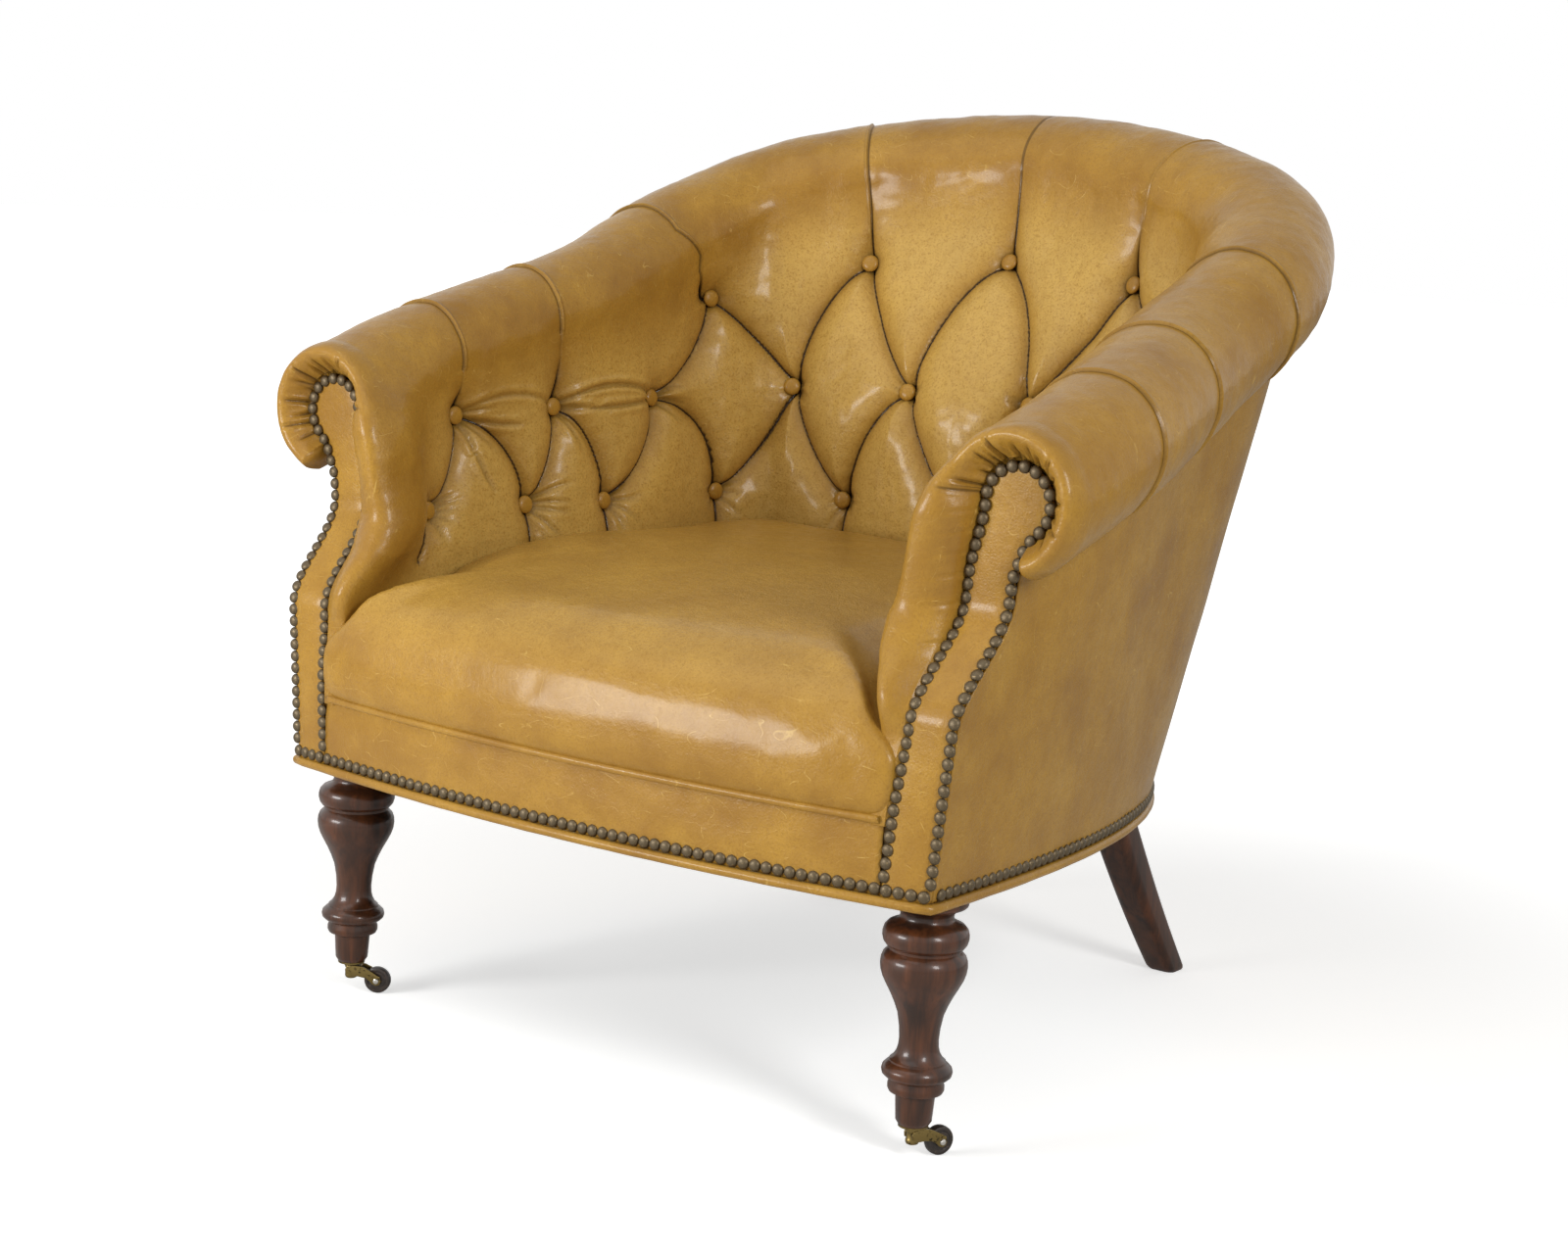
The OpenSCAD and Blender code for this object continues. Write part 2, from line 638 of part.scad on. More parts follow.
// Up the outer edge of an arm front, round the scroll and down the inner edge
nail_inset = 1.5;
function front_slope(z) = (front_y(z + 1) - front_y(z - 1)) / 2;
function edge_point(x, z) = [x, panel_y(x, z) - 1, z];
arm_nail_path = concat(
    [for (z = [nail_z + nail_pitch:12:neck_join]) edge_point(panel_out(z) - nail_inset, z)],
    [for (a = [-40:10:170]) edge_point(scroll_mid[0] + (scroll_r - nail_inset) * cos(a),
        scroll_mid[1] + (scroll_r - nail_inset) * sin(a))],
    [for (i = [0:26]) let (z = lerp(scroll_mid[1], nail_z + nail_pitch, i / 26))
        edge_point(panel_in(z) + nail_inset, z)]);

module arm_nails() {
    for (p = evenly(arm_nail_path, nail_pitch)) nail(p, [0, -1, front_slope(p.z)]);
}

module arm_nails_left() {
    color(bronze) placed() mirror([1, 0, 0]) arm_nails();
}

module arm_nails_right() {
    color(bronze) placed() arm_nails();
}

front_nail_path = [for (t = front_xs) let (x = t * (half_w - 4))
    [x, bow_y(x) - (abs(t) > 0.87 ? 1 : 0), nail_z]];
module front_nails() {
    color(bronze) placed() for (p = evenly(front_nail_path, nail_pitch))
        nail(p, [2 * bow * p.x / pow(half_w, 2), -1, 0]);
}

side_nail_path = [for (i = [0:60]) let (f = lerp(0.012, 1, i / 60))
    outside_at(f, outside_share(f, nail_z))];
module side_nails() {
    points = evenly(side_nail_path, nail_pitch);
    last = len(points) - 1;
    color(bronze) placed() {
        both_sides() for (i = [0:last - 1]) {
            d = points[i + 1] - points[max(i - 1, 0)];
            nail(points[i], [d.y, -d.x, -0.12 * norm(d)]);
        }
        nail(points[last], [0, 1, -0.12]);
    }
}

welt_path_half = concat(
    [for (t = [0:0.1:0.9]) [t * half_w, bow_y(t * half_w) - welt_out, welt_z]],
    [[half_w + welt_out - 1, 1 - welt_out, welt_z]],
    [for (i = [1:30]) let (p = base_inset(i / 30, -welt_out)) [p.x, p.y, welt_z]]);
module bottom_welt() {
    r = welt_d / 2;
    color(leather) placed() tube(concat(
        [for (i = [len(welt_path_half) - 1:-1:1]) flip(welt_path_half[i])], welt_path_half), r);
}

dust_hole = 33;
module dust_cover() {
    color("#2a2826") placed() difference() {
        translate([0, 0, base_z - 1.5]) linear_extrude(1.3) polygon(concat(
            [for (t = front_xs) front_edge(t * (half_w - 8), 8)],
            [for (i = [1:30]) base_inset(i / 30, 8)],
            [for (i = [29:-1:1]) let (p = base_inset(i / 30, 8)) [-p.x, p.y]]));
        for (p = leg_spots) translate([p.x, p.y, base_z - 3]) cylinder(h = 5, r = dust_hole);
    }
}

// Front legs: radius as a share of leg_r, and height above the floor, from the foot up
foot_z = 30.5;
leg_turning = [[0.72, 0], [0.84, 3.5], [0.92, 27.5], [1.27, 29.5], [1.31, 34], [1.27, 38.5], [1.42, 40],
    [1.6, 43], [1.64, 47], [1.6, 51], [1.42, 54.5], [1.3, 56], [1.1, 60], [0.96, 66], [0.91, 74], [0.95, 84],
    [1.07, 96], [1.39, 110], [1.78, 123], [1.98, 133], [2.0, 139], [1.93, 145.5], [1.68, 150], [1.66, 153.5],
    [1.86, 156], [1.97, 161], [1.97, 166], [1.82, 171], [1.42, 174.5], [1.22, 178], [1.22, 181], [1.4, 185],
    [1.78, 188.5], [1.86, 191], [1.86, 193.4], [1.52, 194], [1.52, 198.7]];
turning_h = 198.7;
sleeve_r = stem_r + 2;
sleeve_h = 30;

module front_leg(x) {
    s = (base_z - foot_z) / turning_h;
    translate([x, leg_setback, foot_z]) difference() {
        rotate_extrude() polygon(concat([[0, 0]], [for (v = leg_turning) [leg_r / 2 * v[0], s * v[1]]],
            [[0, base_z - foot_z]]));
        translate([0, 0, -1]) cylinder(h = sleeve_h + 1.2, r = sleeve_r + 0.02);
        translate([0, 0, base_z - foot_z - bolt_down]) cylinder(h = bolt_down + 1, r = bolt_r + bolt_gap);
    }
}

module front_leg_left() {
    color(walnut) placed() front_leg(-leg_span / 2);
}

module front_leg_right() {
    color(walnut) placed() front_leg(leg_span / 2);
}

// Rear legs: square in section with round corners, raked back and tapered to the foot
rear_top = 44;
rear_foot = 33;
rear_round = 0.3;
function round_square(w, n = 4) = [for (q = [0:3]) for (i = [0:n]) let (
    a = q * 90 + i * 90 / n,
    c = (0.5 - rear_round) * w
) [c * sign(cos(q * 90 + 45)) + rear_round * w * cos(a),
    c * sign(sin(q * 90 + 45)) + rear_round * w * sin(a)]];
rear_levels = [0, 0.02, 0.12, 0.28, 0.46, 0.64, 0.82, 1];
module rear_leg() {
    difference() {
        skin([for (t = rear_levels) let (
            z = t * base_z,
            w = lerp(rear_foot, rear_top, pow(t, 0.8)) - (t == 0 ? 4 : 0),
            x = rear_span / 2 + rear_splay * (1 - t),
            y = rear_y + rear_rake * (1 - t) - 5 * sin(180 * pow(1 - t, 1.4))
        ) [for (p = round_square(w)) [x + p.x, y + p.y, z]]]);
        translate([rear_span / 2, rear_y, base_z - bolt_down])
            cylinder(h = bolt_down + 1, r = bolt_r + bolt_gap);
    }
}

module rear_leg_left() {
    color(walnut) placed() mirror([1, 0, 0]) rear_leg();
}

module rear_leg_right() {
    color(walnut) placed() rear_leg();
}

// Casters: the left and the right one stand turned by these angles from +X
caster_turns = [28, 66];
plate_r = 13;
plate_t = 1.6;
hub_r = 5.6;
hub_gap = 0.3;
cheek_t = 2;
cheek_gap = 0.5;
cheek_end_r = 4.6;
hub_low = 13.5;
hub_top = foot_z - plate_t - hub_gap;
stem_up = 26;
axle_z = wheel_d / 2;

module at_caster(x) {
    placed() translate([x, leg_setback, 0]) rotate([0, 0, caster_turns[x < 0 ? 0 : 1]]) children();
}

module caster_socket(x) {
    color(brass) at_caster(x) difference() {
        union() {
            translate([0, 0, foot_z - plate_t]) cylinder(h = plate_t - 0.02, r = plate_r);
            translate([0, 0, foot_z - 0.5]) cylinder(h = sleeve_h + 0.5, r = sleeve_r);
        }
        translate([0, 0, foot_z - plate_t - 1]) cylinder(h = stem_up + 4, r = stem_r + run_gap);
    }
}

module cheek() {
    rotate([90, 0, 0]) difference() {
        union() {
            translate([trail, axle_z, -cheek_t / 2]) cylinder(h = cheek_t, r = cheek_end_r);
            translate([0, 0, -cheek_t / 2]) linear_extrude(cheek_t) polygon([
                [-2, hub_low + 0.5], [-2, hub_top - 2], [trail * 0.55, hub_top - 2],
                [trail * 0.8, hub_top - 4.5], [trail + 3, axle_z + 3.4],
                [trail - 3.6, axle_z - 2.8], [trail * 0.5, hub_low + 0.5]]);
        }
        translate([trail, axle_z, -cheek_t]) cylinder(h = 2 * cheek_t, r = axle_r + 0.02);
    }
}

module caster_fork(x) {
    cheek_y = wheel_w / 2 + cheek_gap + cheek_t / 2;
    color(brass) at_caster(x) {
        for (s = [-1, 1]) translate([0, s * cheek_y, 0]) cheek();
        translate([0, 0, hub_low]) cylinder(h = hub_top - hub_low, r = hub_r);
        translate([0, 0, hub_top - 1]) cylinder(h = stem_up + 1, r = stem_r);
        translate([-2, -cheek_y, hub_low + 1]) cube([4, 2 * cheek_y, hub_top - hub_low - 2.5]);
    }
}

module caster_axle(x) {
    half = wheel_w / 2 + cheek_gap + cheek_t;
    color("silver") at_caster(x) translate([trail, 0, axle_z]) rotate([90, 0, 0]) {
        translate([0, 0, -half - 0.05]) cylinder(h = 2 * half + 0.1, r = axle_r);
        for (s = [0, 1]) mirror([0, 0, s]) translate([0, 0, half + 0.05]) cylinder(h = 1, r1 = 2.9, r2 = 2);
    }
}

module caster_wheel(x) {
    r = wheel_d / 2;
    color("#3b3428") at_caster(x) translate([trail, 0, axle_z]) rotate([90, 0, 0]) rotate_extrude()
        polygon([[axle_r + run_gap, -wheel_w / 2], [4, -wheel_w / 2],
            [5, -wheel_w / 2 + 1.2], [r - 3.5, -wheel_w / 2 + 1.2],
            [r - 2.5, -wheel_w / 2 + 0.4], [r - 1, -wheel_w / 2 + 0.4], [r, -wheel_w / 2 + 1.4],
            [r, wheel_w / 2 - 1.4], [r - 1, wheel_w / 2 - 0.4], [r - 2.5, wheel_w / 2 - 0.4],
            [r - 3.5, wheel_w / 2 - 1.2], [5, wheel_w / 2 - 1.2], [4, wheel_w / 2],
            [axle_r + run_gap, wheel_w / 2]]);
}

module caster_socket_left() caster_socket(-leg_span / 2);
module caster_socket_right() caster_socket(leg_span / 2);
module caster_fork_left() caster_fork(-leg_span / 2);
module caster_fork_right() caster_fork(leg_span / 2);
module caster_axle_left() caster_axle(-leg_span / 2);
module caster_axle_right() caster_axle(leg_span / 2);
module caster_wheel_left() caster_wheel(-leg_span / 2);
module caster_wheel_right() caster_wheel(leg_span / 2);

seat_rail_front();
seat_rail_left();
seat_rail_right();
seat_rail_back();
corner_blocks();
arm_post_left();
arm_post_right();
frame_uprights();
top_rail();
seat_webbing();
seat_foam();
seat_cover();
seat_welt();
front_rail_cover();
inside_back_cover();
tuft_buttons();
outside_cover();
arm_front_left();
arm_front_right();
arm_nails_left();
arm_nails_right();
front_nails();
side_nails();
bottom_welt();
dust_cover();
front_leg_left();
front_leg_right();
rear_leg_left();
rear_leg_right();
leg_bolts();
caster_socket_left();
caster_socket_right();
caster_fork_left();
caster_fork_right();
caster_axle_left();
caster_axle_right();
caster_wheel_left();
caster_wheel_right();
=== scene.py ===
# %% [markdown]
# # A tufted leather accent chair
# The chair is one long padded roll that runs from arm to arm over a frame of rails, with a button-tufted
# inside, a tight seat, nail-head trim and turned legs on casters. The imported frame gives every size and
# place. This lesson puts the leather, the stitching and the finishes over it, piece by piece.

# %% Load the frame
import math

import bpy
import numpy as np
from mathutils import Matrix, Vector
from mathutils.kdtree import KDTree


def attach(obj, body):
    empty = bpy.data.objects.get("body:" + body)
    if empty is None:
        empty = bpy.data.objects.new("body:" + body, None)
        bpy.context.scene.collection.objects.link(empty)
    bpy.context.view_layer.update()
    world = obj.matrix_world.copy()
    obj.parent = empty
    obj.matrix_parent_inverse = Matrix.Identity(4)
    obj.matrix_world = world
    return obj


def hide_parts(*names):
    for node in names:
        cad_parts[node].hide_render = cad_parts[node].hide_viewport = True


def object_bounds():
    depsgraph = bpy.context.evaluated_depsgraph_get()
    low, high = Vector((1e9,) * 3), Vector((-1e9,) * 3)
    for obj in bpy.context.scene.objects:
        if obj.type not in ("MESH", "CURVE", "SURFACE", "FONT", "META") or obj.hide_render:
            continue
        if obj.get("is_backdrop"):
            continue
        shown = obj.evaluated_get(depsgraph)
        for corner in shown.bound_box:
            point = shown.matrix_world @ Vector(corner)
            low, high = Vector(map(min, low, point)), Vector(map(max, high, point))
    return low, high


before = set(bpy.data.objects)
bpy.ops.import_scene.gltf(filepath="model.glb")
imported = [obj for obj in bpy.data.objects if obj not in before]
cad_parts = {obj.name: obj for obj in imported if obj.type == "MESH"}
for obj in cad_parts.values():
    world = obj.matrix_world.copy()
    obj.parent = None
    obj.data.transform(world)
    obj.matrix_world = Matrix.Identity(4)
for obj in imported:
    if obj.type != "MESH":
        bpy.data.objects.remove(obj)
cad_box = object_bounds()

MM = 0.001
# Places are written with Y from the front corners; the frame's own zero lies this far behind them
PLAN_MID = 370.25
SIDES = ((1, "right"), (-1, "left"))
print("frame nodes:", len(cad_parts))

# %% [markdown]
# ## Camera
# The camera stood in front of the chair and to its right, higher than the arms. It looked down by about
# nine degrees and was rolled by about three. Its three axes are worked out from those angles and set as
# a matrix.

# %% Camera
# Angles in radians, the place in metres and the lens in mm
TURN = 0.618336
DROP = 0.164969
TILT = 0.0579326
CAMERA_AT = (1.53287, -2.24311, 0.82596)
LENS = 64.15

right = np.array([math.cos(TURN), math.sin(TURN), 0.0])
ahead = np.array([-math.sin(TURN) * math.cos(DROP), math.cos(TURN) * math.cos(DROP), -math.sin(DROP)])
above = np.cross(right, ahead)
tilted_right = math.cos(TILT) * right + math.sin(TILT) * above
tilted_above = math.cos(TILT) * above - math.sin(TILT) * right

bpy.ops.object.camera_add()
camera = bpy.context.object
camera.name = "camera"
axes = Matrix((tilted_right, tilted_above, -ahead)).transposed()
camera.matrix_world = Matrix.Translation(CAMERA_AT) @ axes.to_4x4()
camera.data.sensor_fit = "HORIZONTAL"
camera.data.sensor_width = 36
camera.data.lens = LENS
bpy.context.scene.camera = camera
print("camera at", CAMERA_AT)

# %% [markdown]
# ## Materials
# A node tree is easiest to read when each node is one call, so one small function adds a node with its
# settings and links. Colours are written as sRGB hex and turned to linear light. All patterns read
# Object coordinates, in metres, so their scale is a real size. Sockets without a name of their own are
# given by number: a Map Range reads from 1 to 2 and gives 3 to 4, and a Mix blends colour 6 into 7.

# %% Helpers for materials
def linear(hex_text):
    channels = [int(hex_text[i:i + 2], 16) / 255 for i in (1, 3, 5)]
    return [c / 12.92 if c <= 0.04045 else ((c + 0.055) / 1.055) ** 2.4 for c in channels] + [1.0]


def add_node(tree, kind, links, **settings):
    """Adds a node. links gives its sockets another node's output or a value."""
    made = tree.nodes.new("ShaderNode" + kind)
    for name, value in settings.items():
        setattr(made, name, value)
    for socket, value in links.items():
        if isinstance(value, bpy.types.NodeSocket):
            tree.links.new(value, made.inputs[socket])
        else:
            made.inputs[socket].default_value = value
    return made


def new_material(name, **settings):
    """A material, its node tree, its shader with these settings, and the place on the piece."""
    material = bpy.data.materials.new(name)
    material.use_nodes = True
    tree = material.node_tree
    shader = tree.nodes["Principled BSDF"]
    for socket, value in settings.items():
        shader.inputs[socket.replace("_", " ")].default_value = value
    place = add_node(tree, "TexCoord", {}).outputs["Object"]
    return material, tree, shader, place


# %% [markdown]
# ### Waxed aniline leather
# Dyed through and waxed by hand, so light catches its grain: faint clouds of tone, a pebble of 2 to
# 3 mm, dark pores and hairline marks 0.3 mm wide, drawn 0.6 mm wide here so that they show. Shade is
# painted into it where the hide is pulled in, along the pleats, round the buttons and in the puckers,
# and a dark line of painted shade marks each pleat's slit. The inside's pillows are painted paler, as
# wear and as painted light where the inside lies in its own shade, and the seat goes paler towards its
# top. Four values stored on the mesh tell the material about that: how much shade is painted at a
# point, how much paler it is painted, fold_near how close to a pleat's line it is, and fold_side how far
# to one side of that line, so that the line stays sharp between the vertices.

# %% Leather
MIX = {"data_type": "RGBA"}
# fold_side runs from -1 to 1 over this many mm to each side of a pleat's line
FOLD_REACH = 8


def fold_line(tree):
    """A sharp line along the pleats, 1 on the line and 0 from 1.3 mm beside it, painted as the slit's shade.
    """
    side = add_node(tree, "Attribute", {}, attribute_name="fold_side")
    near = add_node(tree, "Attribute", {}, attribute_name="fold_near")
    beside = add_node(tree, "Math", {0: side.outputs["Fac"]}, operation="ABSOLUTE")
    line = add_node(tree, "MapRange",
                    {0: beside.outputs[0], 1: 0.3 / FOLD_REACH, 2: 1.3 / FOLD_REACH, 3: 1, 4: 0})
    return add_node(tree, "Math", {0: line.outputs[0], 1: near.outputs["Fac"]}, operation="MULTIPLY")


def make_leather(name, mid, deep, pale, crease, **finish):
    material, tree, shader, place = new_material(name, **finish)
    cloud = add_node(tree, "TexNoise", {"Vector": place, "Scale": 14.0, "Detail": 6.0, "Roughness": 0.6})
    mottle = add_node(tree, "TexNoise", {"Vector": place, "Scale": 95.0, "Detail": 4.0, "Roughness": 0.65})
    pebble = add_node(tree, "TexNoise", {"Vector": place, "Scale": 420.0, "Detail": 3.0, "Roughness": 0.6})
    cells = add_node(tree, "TexVoronoi", {"Vector": place, "Scale": 330.0}, feature="DISTANCE_TO_EDGE")
    lay = add_node(tree, "Mapping", {"Vector": place, "Rotation": (0.5, 0.3, 0.9), "Scale": (14, 44, 30)})
    marks = add_node(tree, "TexNoise",
                     {"Vector": lay.outputs[0], "Scale": 1.0, "Detail": 1.0, "Distortion": 0.6})
    off = add_node(tree, "Math", {0: marks.outputs[0], 1: 0.5}, operation="SUBTRACT")
    off = add_node(tree, "Math", {0: off.outputs[0]}, operation="ABSOLUTE")

    clouds = add_node(tree, "MapRange", {0: cloud.outputs[0], 1: 0.3, 2: 0.66})
    spots = add_node(tree, "MapRange", {0: mottle.outputs[0], 1: 0.45, 2: 0.75, 4: 0.3})
    flecks = add_node(tree, "MapRange", {0: pebble.outputs[0], 1: 0.5, 2: 0.68, 4: 0.6})
    thin = add_node(tree, "MapRange", {0: off.outputs[0], 1: 0.001, 2: 0.005, 3: 0.48, 4: 0})
    some = add_node(tree, "MapRange", {0: mottle.outputs[0], 1: 0.47, 2: 0.6})
    hairs = add_node(tree, "Math", {0: thin.outputs[0], 1: some.outputs[0]}, operation="MULTIPLY")
    # Painted shade: the pleats' slit lines and the stored shade darken the colour towards the last colour
    painted_shade_node = add_node(tree, "Attribute", {}, attribute_name="crease")
    line = fold_line(tree)
    painted_shade_mask = add_node(tree, "Math", {0: line.outputs[0], 1: 0.8, 2: painted_shade_node.outputs["Fac"]},
                      operation="MULTIPLY_ADD", use_clamp=True)

    # Painted paler where the mesh says so, as wear and as painted light
    wear_and_light_attribute = add_node(tree, "Attribute", {}, attribute_name="worn")
    paler = add_node(tree, "Math", {0: wear_and_light_attribute.outputs["Fac"], 1: 0.55}, operation="MULTIPLY")
    tone = add_node(tree, "Mix", {0: clouds.outputs[0], 6: linear(deep), 7: linear(mid)}, **MIX)
    for part, colour in ((paler, pale), (spots, deep), (flecks, deep), (hairs, pale), (painted_shade_mask, crease)):
        tone = add_node(tree, "Mix", {0: part.outputs[0], 6: tone.outputs[2], 7: linear(colour)}, **MIX)
    tree.links.new(tone.outputs[2], shader.inputs["Base Color"])

    gloss = add_node(tree, "MapRange", {0: mottle.outputs[0], 1: 0.3, 2: 0.7, 3: 0.29, 4: 0.42})
    dull = add_node(tree, "Math", {0: painted_shade_mask.outputs[0], 1: 0.5, 2: gloss.outputs[0]},
                    operation="MULTIPLY_ADD")
    tree.links.new(dull.outputs[0], shader.inputs["Roughness"])

    slit = add_node(tree, "Math", {0: 1.0, 1: line.outputs[0]}, operation="SUBTRACT")
    under = {}
    for height, strength, deep_by in ((slit, 0.6, 0.0012), (mottle, 0.5, 0.002), (cells, 0.5, 0.0006),
                                      (pebble, 0.3, 0.0005)):
        relief = add_node(tree, "Bump", {"Strength": strength, "Distance": deep_by,
                                         "Height": height.outputs[0], **under})
        under = {"Normal": relief.outputs[0]}
    tree.links.new(relief.outputs[0], shader.inputs["Normal"])
    return material


# The last colour is that of the painted shade in folds and slits
leather = make_leather("waxed_aniline_leather", "#AE8433", "#936A27", "#D3B061", "#2E1D09",
                       Specular_IOR_Level=0.16, Coat_Weight=0.2, Coat_Roughness=0.17)
print("leather ready")

# %% [markdown]
# ### Wood, metal and the hidden materials
# The legs are a hardwood under a dark walnut stain and a satin lacquer, whose coat gives sharp lights
# on the turned beads. The nails are bronze, browned and rubbed bright in specks. The casters are aged
# brass with a bright steel pin and a hard dark tread. The frame, webbing and foam hardly ever show.

# %% Wood, metal and the hidden materials
def make_wood(name, light, dark, stretch, **finish):
    """Wood whose figure and pores are noise, finest across the grain."""
    material, tree, shader, place = new_material(name, **finish)
    lay = add_node(tree, "Mapping", {"Vector": place, "Scale": stretch})
    rings = add_node(tree, "TexNoise", {"Vector": lay.outputs[0], "Scale": 1.0, "Detail": 6.0,
                                        "Distortion": 1.2})
    pores = add_node(tree, "TexNoise", {"Vector": lay.outputs[0], "Scale": 7.0, "Detail": 3.0})
    figure = add_node(tree, "MapRange", {0: rings.outputs[0], 1: 0.35, 2: 0.7})
    pits = add_node(tree, "MapRange", {0: pores.outputs[0], 1: 0.5, 2: 0.75, 4: 0.6})
    tone = add_node(tree, "Mix", {0: figure.outputs[0], 6: linear(dark), 7: linear(light)}, **MIX)
    tone = add_node(tree, "Mix", {0: pits.outputs[0], 6: tone.outputs[2], 7: linear(dark)}, **MIX)
    tree.links.new(tone.outputs[2], shader.inputs["Base Color"])
    grain = add_node(tree, "Bump", {"Strength": 0.12, "Distance": 0.0005, "Height": pores.outputs[0]})
    tree.links.new(grain.outputs[0], shader.inputs["Normal"])
    return material


def make_speckled(name, base, speck, size, share, bump, **finish):
    """A finish with specks of the given size in metres, over about that share of it."""
    material, tree, shader, place = new_material(name, **finish)
    spots = add_node(tree, "TexNoise", {"Vector": place, "Scale": 1 / size, "Detail": 4.0, "Roughness": 0.6})
    part = add_node(tree, "MapRange", {0: spots.outputs[0], 1: 0.72 - share / 2, 2: 0.82 - share / 2})
    tone = add_node(tree, "Mix", {0: part.outputs[0], 6: linear(base), 7: linear(speck)}, **MIX)
    tree.links.new(tone.outputs[2], shader.inputs["Base Color"])
    rough = add_node(tree, "Bump", {"Strength": bump, "Distance": size / 8, "Height": spots.outputs[0]})
    tree.links.new(rough.outputs[0], shader.inputs["Normal"])
    return material


walnut = make_wood("walnut_stained_hardwood", "#5A3118", "#2C180C", (55, 55, 5), Roughness=0.36,
                   Specular_IOR_Level=0.3, Coat_Weight=0.3, Coat_Roughness=0.1)
pine = make_wood("sawn_frame_wood", "#D8BD8C", "#B08D58", (60, 8, 60), Roughness=0.75)
bronze = make_speckled("browned_bronze_nail", "#5A4D38", "#8A7652", 0.0016, 0.25, 0.2, Metallic=0.6,
                       Roughness=0.45)
brass = make_speckled("aged_brass", "#7C6A40", "#3A3222", 0.004, 0.35, 0.15, Metallic=1.0, Roughness=0.33)
steel = make_speckled("bright_steel_pin", "#C4C0B8", "#8F8B84", 0.002, 0.2, 0.1, Metallic=1.0,
                      Roughness=0.25)
tread = make_speckled("hard_dark_tread", "#2A211B", "#4A3A2D", 0.003, 0.3, 0.15, Roughness=0.38)
foam = make_speckled("open_cell_foam", "#E6DDB9", "#CFC394", 0.002, 0.4, 0.6, Roughness=0.9)
jute = make_speckled("jute_webbing", "#8A7A58", "#5F5238", 0.0015, 0.4, 0.6, Roughness=0.9)
cambric = make_speckled("black_cambric", "#262523", "#3A3835", 0.001, 0.4, 0.5, Roughness=0.95)
print("materials:", len(bpy.data.materials))

# %% [markdown]
# ## The lines of the chair
# Every soft piece follows the same few curves as the frame: the roll, the base and the arm fronts. They
# are written here in millimetres, with Y from the front corners, and moved to the frame at the end.

# %% Curves of the frame
# The base: its width and depth, how square its corners are, its front's bow and its underside's height
BASE_W = 724
BASE_D = 670
BASE_SQUARE = 2.7
BOW = 34
BASE_Z = 233
# The roll: from arm to arm, where it starts and ends, its heights there, its radius and its core's
ARM_SPAN = 768
ARM_SETBACK = 60
ARM_Z = 567
BACK_Y = 722
BACK_Z = 825
ROLL_R = 63
CORE_R = 30
# The padding: its thickness, and how far it swells in on the arms, at their front edge and on the back
PAD_T = 24
ARM_SWELL = 32
ARM_BOLSTER = 28
BACK_SWELL = 102
# The seat: its height at the sides, the height of its seam and its crown
SEAT_Z = 440
SEAM_Z = 307
SEAT_CROWN = 12
HALF_W = BASE_W / 2
# Above this height the arm fronts sweep back
SET_BACK_Z = 382


def lerp(a, b, t):
    return a + (b - a) * t


def smooth(t):
    t = np.clip(t, 0, 1)
    return t * t * (3 - 2 * t)


def catmull(knots, u):
    """Points on a smooth curve through the knots, whose first and last only steer it; u is 0 to 1."""
    count = len(knots) - 3
    place = np.clip(u, 0, 1) * count
    k = np.minimum(np.floor(place), count - 1).astype(int)
    t = (place - k)[:, None]
    a, b, c, d = knots[k], knots[k + 1], knots[k + 2], knots[k + 3]
    square = (2 * a - 5 * b + 4 * c - d) * t ** 2
    cube = (3 * b - a - 3 * c + d) * t ** 3
    return 0.5 * (2 * b + (c - a) * t + square + cube)


def unit(rows):
    return rows / np.linalg.norm(rows, axis=1)[:, None]


def run_length(path):
    """How far along the path each of its points lies."""
    return np.concatenate([[0], np.cumsum(np.linalg.norm(np.diff(path, axis=0), axis=1))])


def to_right_of(along):
    """Level unit directions, square to the given ones and to their right."""
    along = unit(along)
    return np.stack([along[:, 1], -along[:, 0]], 1)


# The roll's knots, as shares of its half width, of its depth and of its rise from arm to back
ROLL_X = np.array([1, 0.997, 0.922, 0.896, 0.669, 0])
ROLL_Y = np.array([0, 0.177, 0.475, 0.716, 0.9, 1])
ROLL_Z = np.array([0, 0.15, 0.38, 0.65, 0.876, 1])
knots = np.stack([ARM_SPAN / 2 * ROLL_X, lerp(ARM_SETBACK, BACK_Y, ROLL_Y), lerp(ARM_Z, BACK_Z, ROLL_Z)], 1)
roll_knots = np.vstack([2 * knots[0] - knots[1], knots, knots[4] * (-1, 1, 1)])
roll_u = np.linspace(0, 1, 401)
roll_walk = catmull(roll_knots, roll_u)
roll_run = run_length(roll_walk)
ROLL_LEN = roll_run[-1]
roll_share = roll_run / ROLL_LEN


def roll_at(f):
    """Middle of the roll, from the arm front (0) to the middle of the back (1) and on to the other side."""
    f = np.asarray(f, float)
    p = catmull(roll_knots, np.interp(np.where(f > 1, 2 - f, f), roll_share, roll_u))
    p[:, 0] *= np.where(f > 1, -1, 1)
    return p


def roll_out(f):
    return to_right_of((roll_at(f + 0.01) - roll_at(np.maximum(f - 0.01, 0)))[:, :2])


base_a = np.radians(np.linspace(0, 90, 61))
base_walk = np.stack([HALF_W * np.cos(base_a) ** (2 / BASE_SQUARE),
                      BASE_D * np.sin(base_a) ** (2 / BASE_SQUARE)], 1)
base_run = run_length(base_walk)


def base_at(f):
    """The base's outline, with shares that run as the roll's do."""
    g = np.where(f > 1, 2 - f, f) * base_run[-1]
    x = np.interp(g, base_run, base_walk[:, 0])
    return np.stack([np.where(f > 1, -x, x), np.interp(g, base_run, base_walk[:, 1])], 1)


